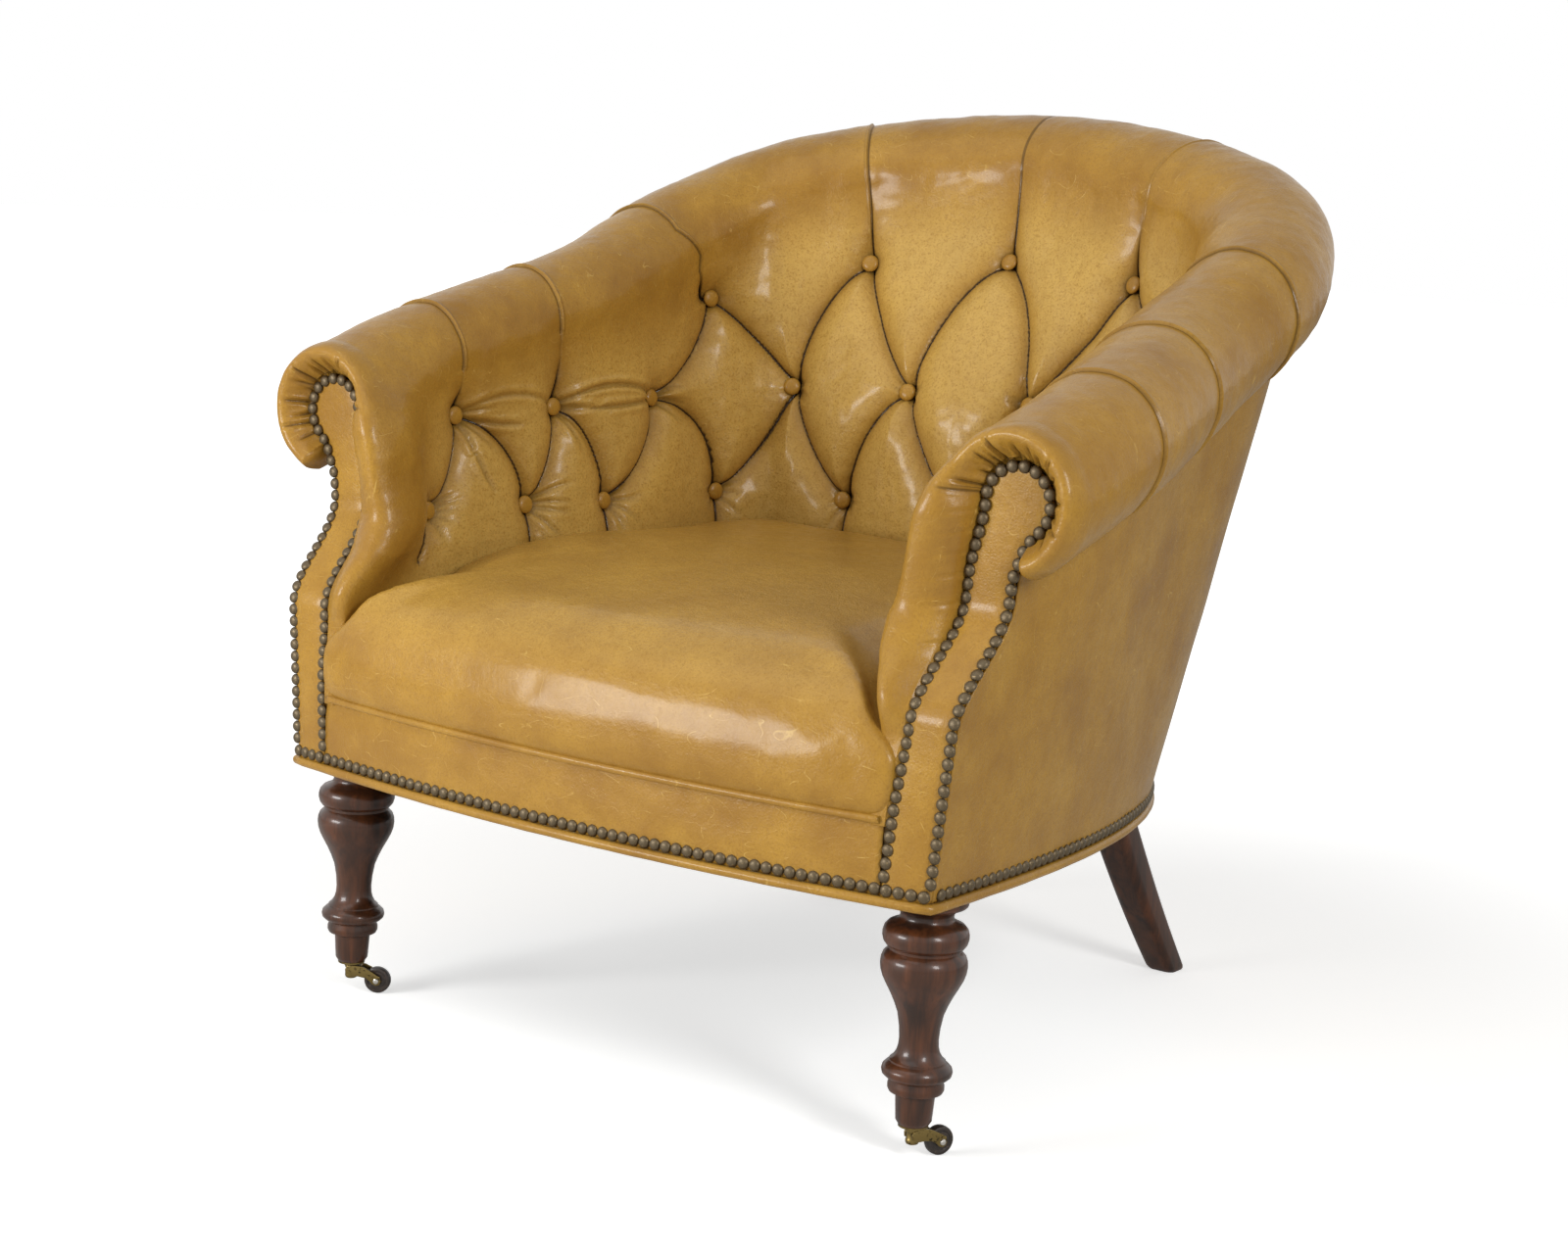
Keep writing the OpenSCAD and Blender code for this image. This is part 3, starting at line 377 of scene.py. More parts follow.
def base_out(f):
    return to_right_of(base_at(f + 0.015) - base_at(np.maximum(f - 0.015, 0)))


def bow_y(x):
    """The front rail's bow."""
    return -BOW * (1 - (x / HALF_W) ** 2)


def front_y(z):
    """How far the arm fronts have swept back at the height z."""
    return ARM_SETBACK * smooth((z - SET_BACK_Z) / 100)


def sweep_fade(f):
    """The share of that sweep that is left behind the arm front."""
    return 1 - smooth(f / 0.18)


print("roll from arm front to middle of back:", round(ROLL_LEN), "mm")

# %% [markdown]
# ## Turning numbers into pieces
# A grid is a good start for upholstery: its rows and columns follow the leather as it was cut. Each soft
# piece is a grid primitive whose vertices are laid on the curves above, closed where its edges meet.

# %% Helpers for pieces
def select_only(piece):
    bpy.ops.object.select_all(action="DESELECT")
    piece.select_set(True)
    bpy.context.view_layer.objects.active = piece


def shape_grid(name, points, caps=False, closed=True):
    """A grid of the points' rows and columns, laid on them. points is rows x columns x 3, in mm."""
    rows, columns = points.shape[0] - 1, points.shape[1] - 1
    bpy.ops.object.select_all(action="DESELECT")
    bpy.ops.mesh.primitive_grid_add(x_subdivisions=columns, y_subdivisions=rows, size=1)
    piece = bpy.context.object
    piece.name = name
    piece.data.name = name
    flat = np.empty(len(piece.data.vertices) * 3)
    piece.data.vertices.foreach_get("co", flat)
    flat = flat.reshape(-1, 3)
    i = np.rint((flat[:, 0] + 0.5) * columns).astype(int)
    j = np.rint((flat[:, 1] + 0.5) * rows).astype(int)
    laid = (points[j, i] - (0, PLAN_MID, 0)) * MM
    piece.data.vertices.foreach_set("co", laid.ravel())
    bpy.ops.object.mode_set(mode="EDIT")
    bpy.ops.mesh.select_mode(type="VERT")
    bpy.ops.mesh.select_all(action="SELECT")
    if closed:
        bpy.ops.mesh.remove_doubles(threshold=1e-5)
    if caps:
        bpy.ops.mesh.select_all(action="DESELECT")
        bpy.ops.mesh.select_non_manifold()
        bpy.ops.mesh.fill(use_beauty=False)
        bpy.ops.mesh.select_all(action="SELECT")
    bpy.ops.mesh.normals_make_consistent(inside=False)
    bpy.ops.object.mode_set(mode="OBJECT")
    bpy.ops.object.shade_smooth()
    return piece


def add_modifier(piece, kind, **settings):
    """Adds a modifier with its settings and applies it."""
    select_only(piece)
    modifier = piece.modifiers.new(kind.lower(), kind)
    for name, value in settings.items():
        setattr(modifier, name, value)
    bpy.ops.object.modifier_apply(modifier=modifier.name)


def dress(piece, material, body, slot, *nodes):
    """Gives the piece its finish, the body that it rides on and the nodes it replaces. The slot is not used.
    """
    piece.data.materials.clear()
    piece.data.materials.append(material)
    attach(piece, body)
    if nodes:
        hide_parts(*nodes)
    print(piece.name, len(piece.data.polygons), "faces")


def mirrored(half):
    """A grid of the right half, columns from the middle outwards, continued to the left."""
    other = half[:, :0:-1] * (-1, 1, 1)
    return np.concatenate([other, half], axis=1)


def both_halves(path):
    """A flat path of the right half, from the front to the back, continued round the left to the front."""
    return np.vstack([path, (path * (-1, 1))[-2:0:-1]])


def vertex_places(piece):
    """The piece's vertices, in metres."""
    return np.array([v.co for v in piece.data.vertices])


def waves(points, length, seed, count=28):
    """A smooth random height of about -1 to 1 over points in mm, with bumps of about that length."""
    rng = np.random.default_rng(seed)
    way = rng.normal(size=(count, 3))
    way *= (2 * np.pi / length * rng.uniform(0.6, 1.3, count) / np.linalg.norm(way, axis=1))[:, None]
    lift = np.sin(points @ way.T + rng.uniform(0, 2 * np.pi, count))
    return lift.sum(axis=-1) * math.sqrt(2 / count) / 1.5


# %% [markdown]
# ## The tufted inside and the roll
# One cover goes up the inside of the arms and back, over the roll and down under its outer side. Its
# section is found at every share of the roll's length. The padding swells in at the seat, and at each
# arm front the cover turns round an ear and is gathered in under the nails.

# %% Section of the cover
# The arm front: a strip of this width, a neck and a round scroll above it
PANEL_W = 44
SCROLL_R = 32
SCROLL_Z = ARM_Z - 2
NECK_Z = 497
NECK_JOIN = 535
FRONT_X = ARM_SPAN / 2


def straight_x(z):
    """The outer edge of the arm front below the neck."""
    return HALF_W + 21 * (z - BASE_Z) / 250


def scroll_half(z):
    """Half the scroll's width at the height z."""
    return np.sqrt(np.maximum(SCROLL_R ** 2 - (z - SCROLL_Z) ** 2, 0))


def panel_out(z):
    """The outer edge of the arm front."""
    share = smooth((z - NECK_Z) / (NECK_JOIN - NECK_Z))
    join = lerp(straight_x(NECK_Z), FRONT_X + scroll_half(NECK_JOIN), share)
    return np.where(z < NECK_Z, straight_x(z), np.where(z < NECK_JOIN, join, FRONT_X + scroll_half(z)))


def panel_in(z):
    """The inner edge of the arm front."""
    low = straight_x(NECK_Z) - PANEL_W
    join = lerp(low, FRONT_X - SCROLL_R, smooth((z - NECK_Z) / (SCROLL_Z - NECK_Z)))
    high = np.where(z < SCROLL_Z, join, FRONT_X - scroll_half(z))
    return np.where(z < NECK_Z, straight_x(z) - PANEL_W, high)


def panel_y(x, z):
    """The face of the arm front, which follows the front rail's bow low down."""
    return front_y(z) + bow_y(np.minimum(x, HALF_W)) * (1 - smooth((z - SEAM_Z) / (SET_BACK_Z - SEAM_Z)))


def swell(f):
    """How far the padding swells in between the roll and the seat."""
    return lerp(ARM_SWELL, BACK_SWELL, smooth((np.minimum(f, 2 - f) - 0.6) / 0.4))


def plain_reach(f, z):
    """How far inside the roll's middle line the padding reaches, without tufts."""
    return ROLL_R + swell(f) * smooth((roll_at(f)[:, 2] - np.maximum(z, SEAT_Z)) / 280)


def bolster(f, z):
    """The stuffed edge of the arm in mm: it narrows a little at a waist and ends at the seat."""
    low = lerp(0.3, 1.15, smooth((z - 395) / 70)) * smooth((z - 362) / 50)
    waist = 1 - 0.2 * np.exp(-((z - 520) / 42) ** 2)
    return ARM_BOLSTER * np.exp(-(f / 0.045) ** 2) * smooth((ARM_Z + 45 - z) / 90) * low * waist


def at_reach(f, z, reach):
    """Points inside the roll's middle line by the reach, at the height z."""
    p = roll_at(f)
    o = roll_out(f)
    y = p[:, 1] - reach * o[:, 1] + (front_y(z) - ARM_SETBACK) * sweep_fade(f)
    return np.stack([p[:, 0] - reach * o[:, 0], y, z], 1)


def inside_at(f, z):
    """Points of the plain inside."""
    return at_reach(f, z, plain_reach(f, z) + bolster(f, z))


def on_roll(f, r, a):
    """Points at the radius r round the roll: 0 degrees is outwards, 90 is up and 180 is inwards."""
    p = roll_at(f)
    o = roll_out(f)
    a = np.radians(a)
    away = r * np.cos(a)
    return np.stack([p[:, 0] + o[:, 0] * away, p[:, 1] + o[:, 1] * away, p[:, 2] + r * np.sin(a)], 1)


def cover_low(f):
    """The height where the cover goes down behind the seat, or on the arm fronts beside it."""
    return lerp(SEAM_Z - 11, SEAT_Z - 25, smooth(f / 0.15))


def tuck_angle(f):
    """How far down round the roll the covers meet."""
    return lerp(-86, -64, smooth(f / 0.3))


def roll_underside(f):
    """Where the outside leather goes in under the roll."""
    return on_roll(f, ROLL_R - 4, tuck_angle(f))


# %% [markdown]
# ### Columns and rows
# Columns are 2.4 mm apart along the roll, and 0.9 mm apart at the pleats that run over it, so a fold
# keeps a crisp lip. The third pleat slants towards the back as it goes down to its button, the fourth
# leans towards the arm as it goes up, and the columns follow both. Round the ear, which is the padded
# end of the arm, the columns turn forwards and end under the nails.

# %% Columns and rows
# Shares of the roll at which a pleat crosses its crest
PLEATS = (0.128, 0.269, 0.466, 0.803, 1.0)
COLUMN_STEP = 2.4
PLEAT_STEP = 0.9
STEPS = 6000

fine_f = np.linspace(0, 1, STEPS + 1)
near = np.min([np.abs(fine_f - p) * ROLL_LEN for p in PLEATS], axis=0)
density = 1 / COLUMN_STEP + (1 / PLEAT_STEP - 1 / COLUMN_STEP) * np.exp(-(near / 6) ** 4)
filled = np.concatenate([[0], np.cumsum((density[1:] + density[:-1]) / 2) * ROLL_LEN / STEPS])
along = np.interp(np.linspace(0, filled[-1], int(filled[-1]) + 1), filled, fine_f)[::-1]
ear = np.linspace(0, 1, 31)[1:]
share_cols = np.concatenate([along, np.zeros(len(ear) + 2)])
ear_share = np.concatenate([np.zeros(len(along)), ear, [1, 1]])
on_ear = ear_share > 0
INSIDE_ROWS = 170
ROLL_ROWS = 110
BACK_ROWS = 9


def mid_button_z(f):
    """The height of the middle row of buttons, which rises towards the back."""
    return lerp(556, 604, f)


def top_button_z(f):
    """The height of the top row of buttons, at or between them."""
    return mid_button_z(f) + 0.62 * (roll_at(f)[:, 2] - mid_button_z(f))


# How much the third pleat slants and the fourth leans, and how many mm of the roll's arc they take for it
SLANT = 0.079
SLANT_ARC = 45
LEAN = 0.026
LEAN_ARC = 130


def slanted(g, way, rise):
    """The share along the roll of column g, way mm above its top button. The roll is rise mm above that."""
    weight = np.clip(1 - way / (rise + SLANT_ARC), 0, 1) * (1 - smooth(-way / 120))
    f = g + SLANT * np.exp(-((g - PLEATS[2]) / 0.1) ** 2) * weight
    return f - LEAN * np.exp(-((f - PLEATS[3]) / 0.075) ** 2) * smooth(way / (rise + LEAN_ARC))


# The ear stands this far in front of the arm front. Up to its crest it is rounded, then it slopes down
EAR_PROUD = 23
EAR_ROUND = 0.36
CREST = 0.3
rounding = np.clip(ear_share / EAR_ROUND, 0, 1) * np.pi / 2
ramp = np.clip((ear_share - EAR_ROUND) / (1 - EAR_ROUND), 0, 1)
turned = CREST * (1 - np.cos(rounding)) + (1 - CREST) * ramp
slope = np.clip(0.5 + 0.5 * np.cos(np.pi * ramp), 0, 1)
# The last columns go in under the nails: how far forward they lie, and how far in from the ear's end
forward = EAR_PROUD * np.sin(rounding) * slope ** 0.8
forward[-3:] = (0.6, -0.5, -4)
proud = forward > 0.6
under_nails = np.zeros(len(ear_share))
under_nails[-2:] = (2.5, 5)
EAR_END = 3.5


def fullness(z):
    """Between the loop of nails and the seat the ear is stuffed fuller, so that it hides its nails."""
    return smooth((z - 405) / 60) * smooth((ARM_Z + 44 - z) / 62)


def ear_forward(z):
    """How far the ear's columns lie in front of the arm front at the height z."""
    full = fullness(z)
    share = (1 + 0.6 * full) * lerp(0.72, 1, smooth((z - 400) / 160)) * smooth((z - 362) / 56)
    return np.where(proud, EAR_PROUD * np.sin(rounding) * slope ** lerp(0.8, 0.26, full) * share, forward)


rows = []
heights = []
roll_z = roll_at(share_cols)[:, 2]
foot_z = cover_low(share_cols)
button_z = top_button_z(share_cols)
rise = roll_z - button_z
for t in np.linspace(0, 1, INSIDE_ROWS):
    z = lerp(foot_z, roll_z, t)
    f = slanted(share_cols, z - button_z, rise)
    outer = plain_reach(f, z) + bolster(f, z)
    inner = FRONT_X - panel_in(z) + EAR_END - 1 + smooth((z - 500) / 67)
    p = at_reach(f, z, lerp(outer, inner, turned) - under_nails)
    p[:, 1] -= ear_forward(z)
    low_front = (1 - smooth((z - SEAM_Z) / 75)) * (1 - smooth(share_cols / 0.02))
    p[:, 1] += bow_y(np.minimum(p[:, 0], HALF_W)) * low_front
    rows.append(p)
    heights.append(z)
heights = np.array(heights)
roll_low = tuck_angle(share_cols) + 8 + 8 * (1 - smooth(share_cols / 0.1))
roll_angles = [lerp(180, roll_low, t) for t in np.linspace(0, 1, ROLL_ROWS + 1)[1:]]
for a in roll_angles:
    f = slanted(share_cols, rise + ROLL_R * np.radians(180 - a), rise)
    height = roll_at(f)[:, 2] + ROLL_R * np.sin(np.radians(a))
    outer = ROLL_R + bolster(f, height) * (a > 90)
    p = on_roll(f, lerp(outer, SCROLL_R + EAR_END, turned) - under_nails, a)
    p[:, 1] -= ear_forward(np.where(a > 90, ARM_Z + ROLL_R * np.sin(np.radians(a)), ARM_Z + ROLL_R))
    rows.append(p)
front_rows = np.array(rows)
print("cover:", front_rows.shape)

# %% [markdown]
# ### Tufts, pleats and gathers
# Deep tufting pins the leather in a diamond of buttons. Between two buttons the spare leather folds
# under itself in a sharp pleat, and each diamond swells like a small pillow: steep at the pleat, flat
# in the middle. The pleats bow, because the hide is pulled round a curved back. A height field made
# from the distance to the pleats and buttons gives all this, and it is the same on every run.

# %% Buttons and pleats
# Each row of buttons, as shares along the roll and heights in mm
LOW_Z = 473
PLEAT_FOOT_Z = 425
LOW = [(f, LOW_Z) for f in (0.073, 0.222, 0.332, 0.545, 0.803, 1.0)]
MID = [(f, mid_button_z(f)) for f in (0.128, 0.269, 0.412, 0.706, 0.892)]
TOP = [(f, float(top_button_z(np.array([f]))[0])) for f in (0.545, 0.803, 1.0)]
BUTTONS = LOW + MID + TOP
BEYOND = (2 - MID[4][0], MID[4][1])

# Each pleat: its upper and lower button, and how much it bows towards its upper corner or its lower one
DIAMONDS = [
    (MID[0], LOW[0], -0.45), (MID[0], LOW[1], 0.62), (MID[1], LOW[1], -0.4), (MID[1], LOW[2], 0.6),
    (MID[2], LOW[2], -0.4), (MID[2], LOW[3], 0.6), (MID[3], LOW[3], -0.12), (MID[3], LOW[4], -0.26),
    (MID[4], LOW[4], 0.48), (MID[4], LOW[5], -0.26), (TOP[0], MID[2], -0.3), (TOP[0], MID[3], -0.06),
    (TOP[1], MID[3], 0.36), (TOP[1], MID[4], -0.3), (TOP[2], MID[4], 0.44), (TOP[2], BEYOND, 0.44)]


def bowed(upper, lower, bend, t):
    """A pleat in shares and heights. Positive bends leave the upper button sideways, negative downwards."""
    corner = (lower[0], upper[1]) if bend > 0 else (upper[0], lower[1])
    middle = ((upper[0] + lower[0]) / 2, (upper[1] + lower[1]) / 2)
    steer = np.array(middle) + abs(bend) * 1.05 * (np.array(corner) - middle)
    t = t[:, None]
    return (1 - t) ** 2 * np.array(upper) + 2 * t * (1 - t) * steer + t ** 2 * np.array(lower)


# Each line goes with its depth in mm: between two buttons, down to the seat and up over the roll
pleat_lines = []
t = np.linspace(0, 1, 90)
for upper, lower, bend in DIAMONDS:
    depths = 9.5 + 4 * (np.exp(-t / 0.16) + np.exp(-(1 - t) / 0.16))
    pleat_lines.append((bowed(upper, lower, bend, t), depths))
down = np.linspace(0, 1, 30)
for f, z in LOW:
    line = np.column_stack([np.full(len(down), f), lerp(z, PLEAT_FOOT_Z, down)])
    pleat_lines.append((line, lerp(12, 8, down)))
for (f, z), pleat in zip(MID[:2] + TOP, PLEATS):
    g = np.full(len(t), pleat)
    line_z = lerp(z, roll_at(g)[:, 2], t)
    line_f = slanted(g, line_z - top_button_z(g), roll_at(g)[:, 2] - top_button_z(g))
    pleat_lines.append((np.column_stack([line_f, line_z]), 12 * (1 - smooth(t * 1.05)) ** 1.2 + 1.0))


def follow(lines):
    """Points, depths, directions along and directions to the upper side of lines of shares and heights."""
    found = []
    for line, depths in lines:
        points = inside_at(line[:, 0], line[:, 1])
        run = unit(np.gradient(line * (ROLL_LEN, 1), axis=0))
        side = np.column_stack([-run[:, 1], run[:, 0]])
        mean = side.mean(axis=0)
        side *= np.sign(mean[1] + 0.3 * mean[0])
        along = inside_at(line[:, 0] + run[:, 0] / ROLL_LEN, line[:, 1] + run[:, 1]) - points
        beside = inside_at(line[:, 0] + side[:, 0] / ROLL_LEN, line[:, 1] + side[:, 1]) - points
        found.append((points, depths, unit(along), unit(beside)))
    return [np.concatenate(column) for column in zip(*found)]


pleat_points, pleat_depths, pleat_along, pleat_side = follow(pleat_lines)
button_points = np.array([inside_at(np.array([f]), np.array([z]))[0] for f, z in BUTTONS])
print("pleats:", len(pleat_lines), "buttons on one side:", len(BUTTONS))

# %% [markdown]
# On the arms the leather is short of room and puckers beside the buttons, so a few shallow folds fan
# out from each button towards the back. On the back they are fewer and fan out to both sides.

# %% Puckers beside the buttons
rng = np.random.default_rng(11)
PUCKERED = [(b, 1) for b in LOW[:3] + MID[:3]]
PUCKERED += [(b, s) for b in LOW[3:] + MID[3:] for s in (1, -1)]
pucker_lines = []
for (f, z), side in PUCKERED:
    on_arm = f < 0.45
    count = 5 if on_arm else 3
    for k in range(count):
        angle = math.radians(lerp(-62, 42, (k + rng.uniform(0.2, 0.8)) / count))
        length = rng.uniform(34, 62) if on_arm else rng.uniform(22, 44)
        t = np.linspace(0, 1, 30)
        bend = rng.uniform(-0.35, 0.35) * t
        df = side * np.cos(angle + bend) * length * t / ROLL_LEN
        dz = np.sin(angle + bend) * length * t
        line = np.column_stack([np.clip(f + df, 0, 1), z + dz])
        pucker_lines.append((line, (3.5 if on_arm else 2.4) * (1 - t ** 1.5)))

# Longer folds between neighbours: their two ends, how far they arch up in mm, and their depth
LONG_FOLDS = [
    (MID[1], MID[2], 17, 4.0), (MID[1], MID[2], -5, 3.6), (MID[0], MID[1], 16, 2.2),
    (MID[0], (0.168, 486), -6, 3.0), (MID[0], (0.215, 552), -3, 3.0), (MID[2], (0.46, 585), 5, 1.8)]
for start, end, arch, depth in LONG_FOLDS:
    t = np.linspace(0, 1, 60)
    line = np.column_stack([lerp(start[0], end[0], t), lerp(start[1], end[1], t) + 4 * arch * t * (1 - t)])
    pucker_lines.append((line, depth * np.maximum(np.sin(math.pi * t) ** 0.4, 1 - t)))
pucker_points, pucker_depths, pucker_along, pucker_side = follow(pucker_lines)


def nearest(points, queries):
    """For each query point, the index of the nearest of the points and its distance, in mm."""
    tree = KDTree(len(points))
    for i, p in enumerate(points):
        tree.insert(p, i)
    tree.balance()
    found = [tree.find(q) for q in queries]
    return np.array([hit[1] for hit in found]), np.array([hit[2] for hit in found])


# %% [markdown]
# ### Height of the leather
# Each point of the cover looks up its nearest pleat, button and pucker. The leather falls from the
# middle of a pillow to its pleat, is drawn in at a button, and laps over itself along the upper side of
# each pleat. Over the roll each pleat has a lip on one side. Low waves keep it all from looking moulded.

# %% Height of the leather over the plain cover
PILLOW = 40


def grid_normals(p):
    down = np.gradient(p, axis=0)
    across = np.gradient(p, axis=1)
    n = np.cross(across, down)
    return n / np.maximum(np.linalg.norm(n, axis=2), 1e-9)[:, :, None]


def beside_lines(queries, points, along, side):
    """For each query: its nearest sample, its distance from the line and its distance to the upper side."""
    which, far = nearest(points, queries)
    away = queries - points[which]
    run = np.clip(np.sum(away * along[which], axis=1), -3, 3)
    return which, np.sqrt(np.maximum(far ** 2 - run ** 2, 0)), np.sum(away * side[which], axis=1)


flat_points = front_rows.reshape(-1, 3)
which, distance, to_side = beside_lines(flat_points, pleat_points, pleat_along, pleat_side)
depth = pleat_depths[which]
firm = np.minimum(depth / 9, 1)
t = np.clip(distance / PILLOW, 0, 1)
# The pillow's slope with a sharp slit at its foot, and the upper side of the pleat over the lower
fold = depth * (1 - (1 - (1 - t) ** 2) ** 0.72) + 2.4 * np.exp(-distance / 2.6) * firm
overlap = 0.9 * firm * np.tanh(to_side / 1.5) * np.exp(-distance / 6)
_, to_button = nearest(button_points, flat_points)
dimple = 7.5 * np.exp(-(np.maximum(to_button - 7, 0) / 10) ** 1.3)
# A pucker is a groove with a low ridge along each side
pick, to_pucker, _ = beside_lines(flat_points, pucker_points, pucker_along, pucker_side)
ridge = 0.5 * np.exp(-((to_pucker - 6) / 3.5) ** 2)
pucker = pucker_depths[pick] * (np.exp(-(to_pucker / 2.4) ** 2) - ridge) * smooth((to_button - 6) / 6)
lift = 2.0 * smooth(distance / 30) - fold - dimple - pucker + overlap
lift += 0.45 * waves(flat_points, 55, 3) + 0.18 * waves(flat_points, 17, 4)
lift = lift.reshape(front_rows.shape[:2])

column_x = np.stack([(share_cols - p) * ROLL_LEN for p in PLEATS])
over = np.zeros_like(lift)
over[:INSIDE_ROWS] = smooth((heights - button_z) / 60) * smooth((heights - mid_button_z(0)) / 40)
over[INSIDE_ROWS:] = 1
# The side on which each pleat has its lip
LIP = (1, 1, 1, -1, 1)
for x, side in zip(column_x, LIP):
    x = x * side
    groove = 1.7 * (x < 0.2) * np.exp(-np.abs(x) / 11)
    lip = 1.0 * np.exp(-((x - 1.6) / 1.3) ** 2) + 0.7 * np.exp(-np.maximum(x, 0) / 9) * (x >= 0.2)
    lift += over * (lip - groove) * ~on_ear

# %% [markdown]
# ### Gathers round the ears
# The leather of the ear has to fit the small loop of nails, so it is gathered in short pleats, deepest
# under the nails and gone by the crest of the ear.

# %% Gathers of the ears
# Where they lie: round the roll in degrees, and below it in mm
GATHERS = [174, 163, 148, 137, 122, 110, 94, 86, 70, 61, 44, 33, 21, 4, -10, -29, -47]
LOW_GATHERS = (436, 468, 492, 511, 530, 547)
row_angle = np.array(roll_angles)
slit_near = np.zeros_like(lift)
slit_side = np.ones_like(lift)


def gather(rows_there, arc, pull, strength):
    """One fold across the ear: lower on its line, proud beside it, with a slit of painted shade where it is
    deep.
    """
    valley = np.exp(-(arc / 1.5) ** 2) - 0.45 * np.exp(-((np.abs(arc) - 4) / 2.2) ** 2)
    lift[rows_there] -= pull * strength * valley
    sharp = 0.9 * strength ** 3 * (1 - smooth((np.abs(arc) - 2) / 1.5))
    closer = sharp > slit_near[rows_there]
    slit_side[rows_there] = np.where(closer, arc / FOLD_REACH, slit_side[rows_there])
    slit_near[rows_there] = np.maximum(slit_near[rows_there], sharp)


on_top = slice(INSIDE_ROWS, None)
below = slice(0, INSIDE_ROWS)
for k, a in enumerate(GATHERS):
    reach = 0.22 + 0.42 * ((k * 7) % 5) / 4
    lean = 5 * math.sin(2.4 * k) * (1 - ear_share)
    arc = np.radians(row_angle - a - 3 * math.sin(1.7 * k)) * lerp(ROLL_R, SCROLL_R, turned) + lean
    gather(on_top, arc, 1.4 + 0.55 * ((k * 3) % 4), smooth((ear_share - reach) / 0.3) * on_ear)
for z in LOW_GATHERS:
    gather(below, heights - z - 3 * np.pi * ear_share, 1.4, 0.4 * smooth((ear_share - 0.5) / 0.4) * on_ear)
lift[:, -3:] = 0

# %% [markdown]
# ### Closing the cover
# The dressed front is joined to a plain back inside the padding, so that the cover is one closed piece.
# The values that the leather's material reads are worked out here and stored on its vertices.

# %% The cover as one closed piece
normals = grid_normals(front_rows)
# The grid's normals may point either way, and one point on the back tells which
outward = np.sign(np.sum(normals[60, 5, :2] * -roll_out(share_cols[5:6])[0]))
dressed = front_rows + outward * normals * lift[:, :, None]
# Painted shade: darker along the pleats, round the buttons, in the puckers and under the lips on the roll
creased = 0.2 * np.clip(fold / 11, 0, 1) * np.exp(-(distance / 3.5) ** 1.5)
creased += 0.1 * np.clip(fold / 11, 0, 1) * np.exp(-distance / 13)
creased += 0.55 * np.exp(-np.maximum(to_button - 8.8, 0) / 1.8) + 0.34 * np.clip(pucker / 2.5, 0, 1)
creased = np.clip(creased.reshape(lift.shape) + 0.1 * slit_near, 0, 0.95)
fold_near = (firm * (1 - smooth((distance - 3) / 3))).reshape(lift.shape)
fold_side = np.clip(to_side / FOLD_REACH, -1, 1).reshape(lift.shape)
fold_side = np.where(slit_near > fold_near, slit_side, fold_side)
fold_near = np.maximum(fold_near, 0.7 * slit_near)
beside = np.min(np.abs(column_x + 0.8 * np.array(LIP)[:, None]), axis=0)
behind = np.min(np.abs(column_x - 3.4 * np.array(LIP)[:, None]), axis=0)
ridge_shade = 0.75 * np.exp(-(beside / 1.1) ** 2) + 0.3 * np.exp(-(behind / 0.9) ** 2)
creased = np.maximum(creased, over * ridge_shade * ~on_ear)
# Painted paler on the pillows of the inside, up to the roll, as wear and as painted light
worn = np.zeros_like(lift)
worn[:INSIDE_ROWS] = smooth((roll_z + 10 - heights) / 90) * smooth((share_cols - 0.02) / 0.08)
worn *= 1 - 0.7 * np.exp(-(distance / 12) ** 2).reshape(lift.shape)
# The plain back goes round the frame's core under the roll and then down inside the padding
back = []
back_r = np.where(share_cols < 0.1, max(CORE_R, SCROLL_R), CORE_R) / math.cos(math.radians(26)) + 0.4
for t in np.linspace(0, 1, BACK_ROWS):
    back.append(on_roll(share_cols, back_r, lerp(roll_low, 180, t)))
for t in np.linspace(1, 0, BACK_ROWS)[1:]:
    z = lerp(foot_z, roll_z, t)
    post = np.where(share_cols < 0.1, FRONT_X - panel_in(z) + 1, 0)
    back.append(at_reach(share_cols, z, np.maximum(plain_reach(share_cols, z) - PAD_T, post)))
back = np.array(back)
back[:, :, 1] += 8 * (1 - smooth(share_cols / 0.03)) - 3 * ear_share
ring = np.concatenate([dressed, back, dressed[:1]])
cover = shape_grid("tufted_cover", mirrored(ring), caps=True)


def store_values(piece, half_points, **values):
    """Stores values of the right half's points, in mm, on the vertices of both halves that lie on them."""
    points = np.vstack([half_points, half_points * (-1, 1, 1)])
    at, _ = nearest(points, vertex_places(piece) / MM + (0, PLAN_MID, 0))
    for name, value in values.items():
        data = piece.data.attributes.new(name, "FLOAT", "POINT")
        data.data.foreach_set("value", np.tile(value.ravel(), 2)[at])


store_values(cover, dressed.reshape(-1, 3), crease=creased, fold_near=fold_near, fold_side=fold_side,
             worn=worn)
dress(cover, leather, "chair", "leather", "inside_back_cover")

# %% [markdown]
# ## Buttons
# Each button is a small dome covered in the same leather. It sits at the bottom of its tuft, square to
# the leather there. One dome is shaped and copied to all the places.

# %% Buttons
def dome_rows(radius, height, skirt, turns, rings):
    """Points of a dome whose edge is rounded, pointing up from its base at the origin, in mm."""
    a = np.linspace(0, np.pi / 2, rings)
    r = np.concatenate([[radius - 0.8 * skirt], radius * np.cos(a) ** 0.8])
    z = np.concatenate([[-skirt], height * np.sin(a)])
    turn = np.linspace(0, 2 * np.pi, turns + 1)
    level = np.broadcast_to(z[:, None], (len(r), turns + 1))
    return np.stack([r[:, None] * np.cos(turn), r[:, None] * np.sin(turn), level], 2)


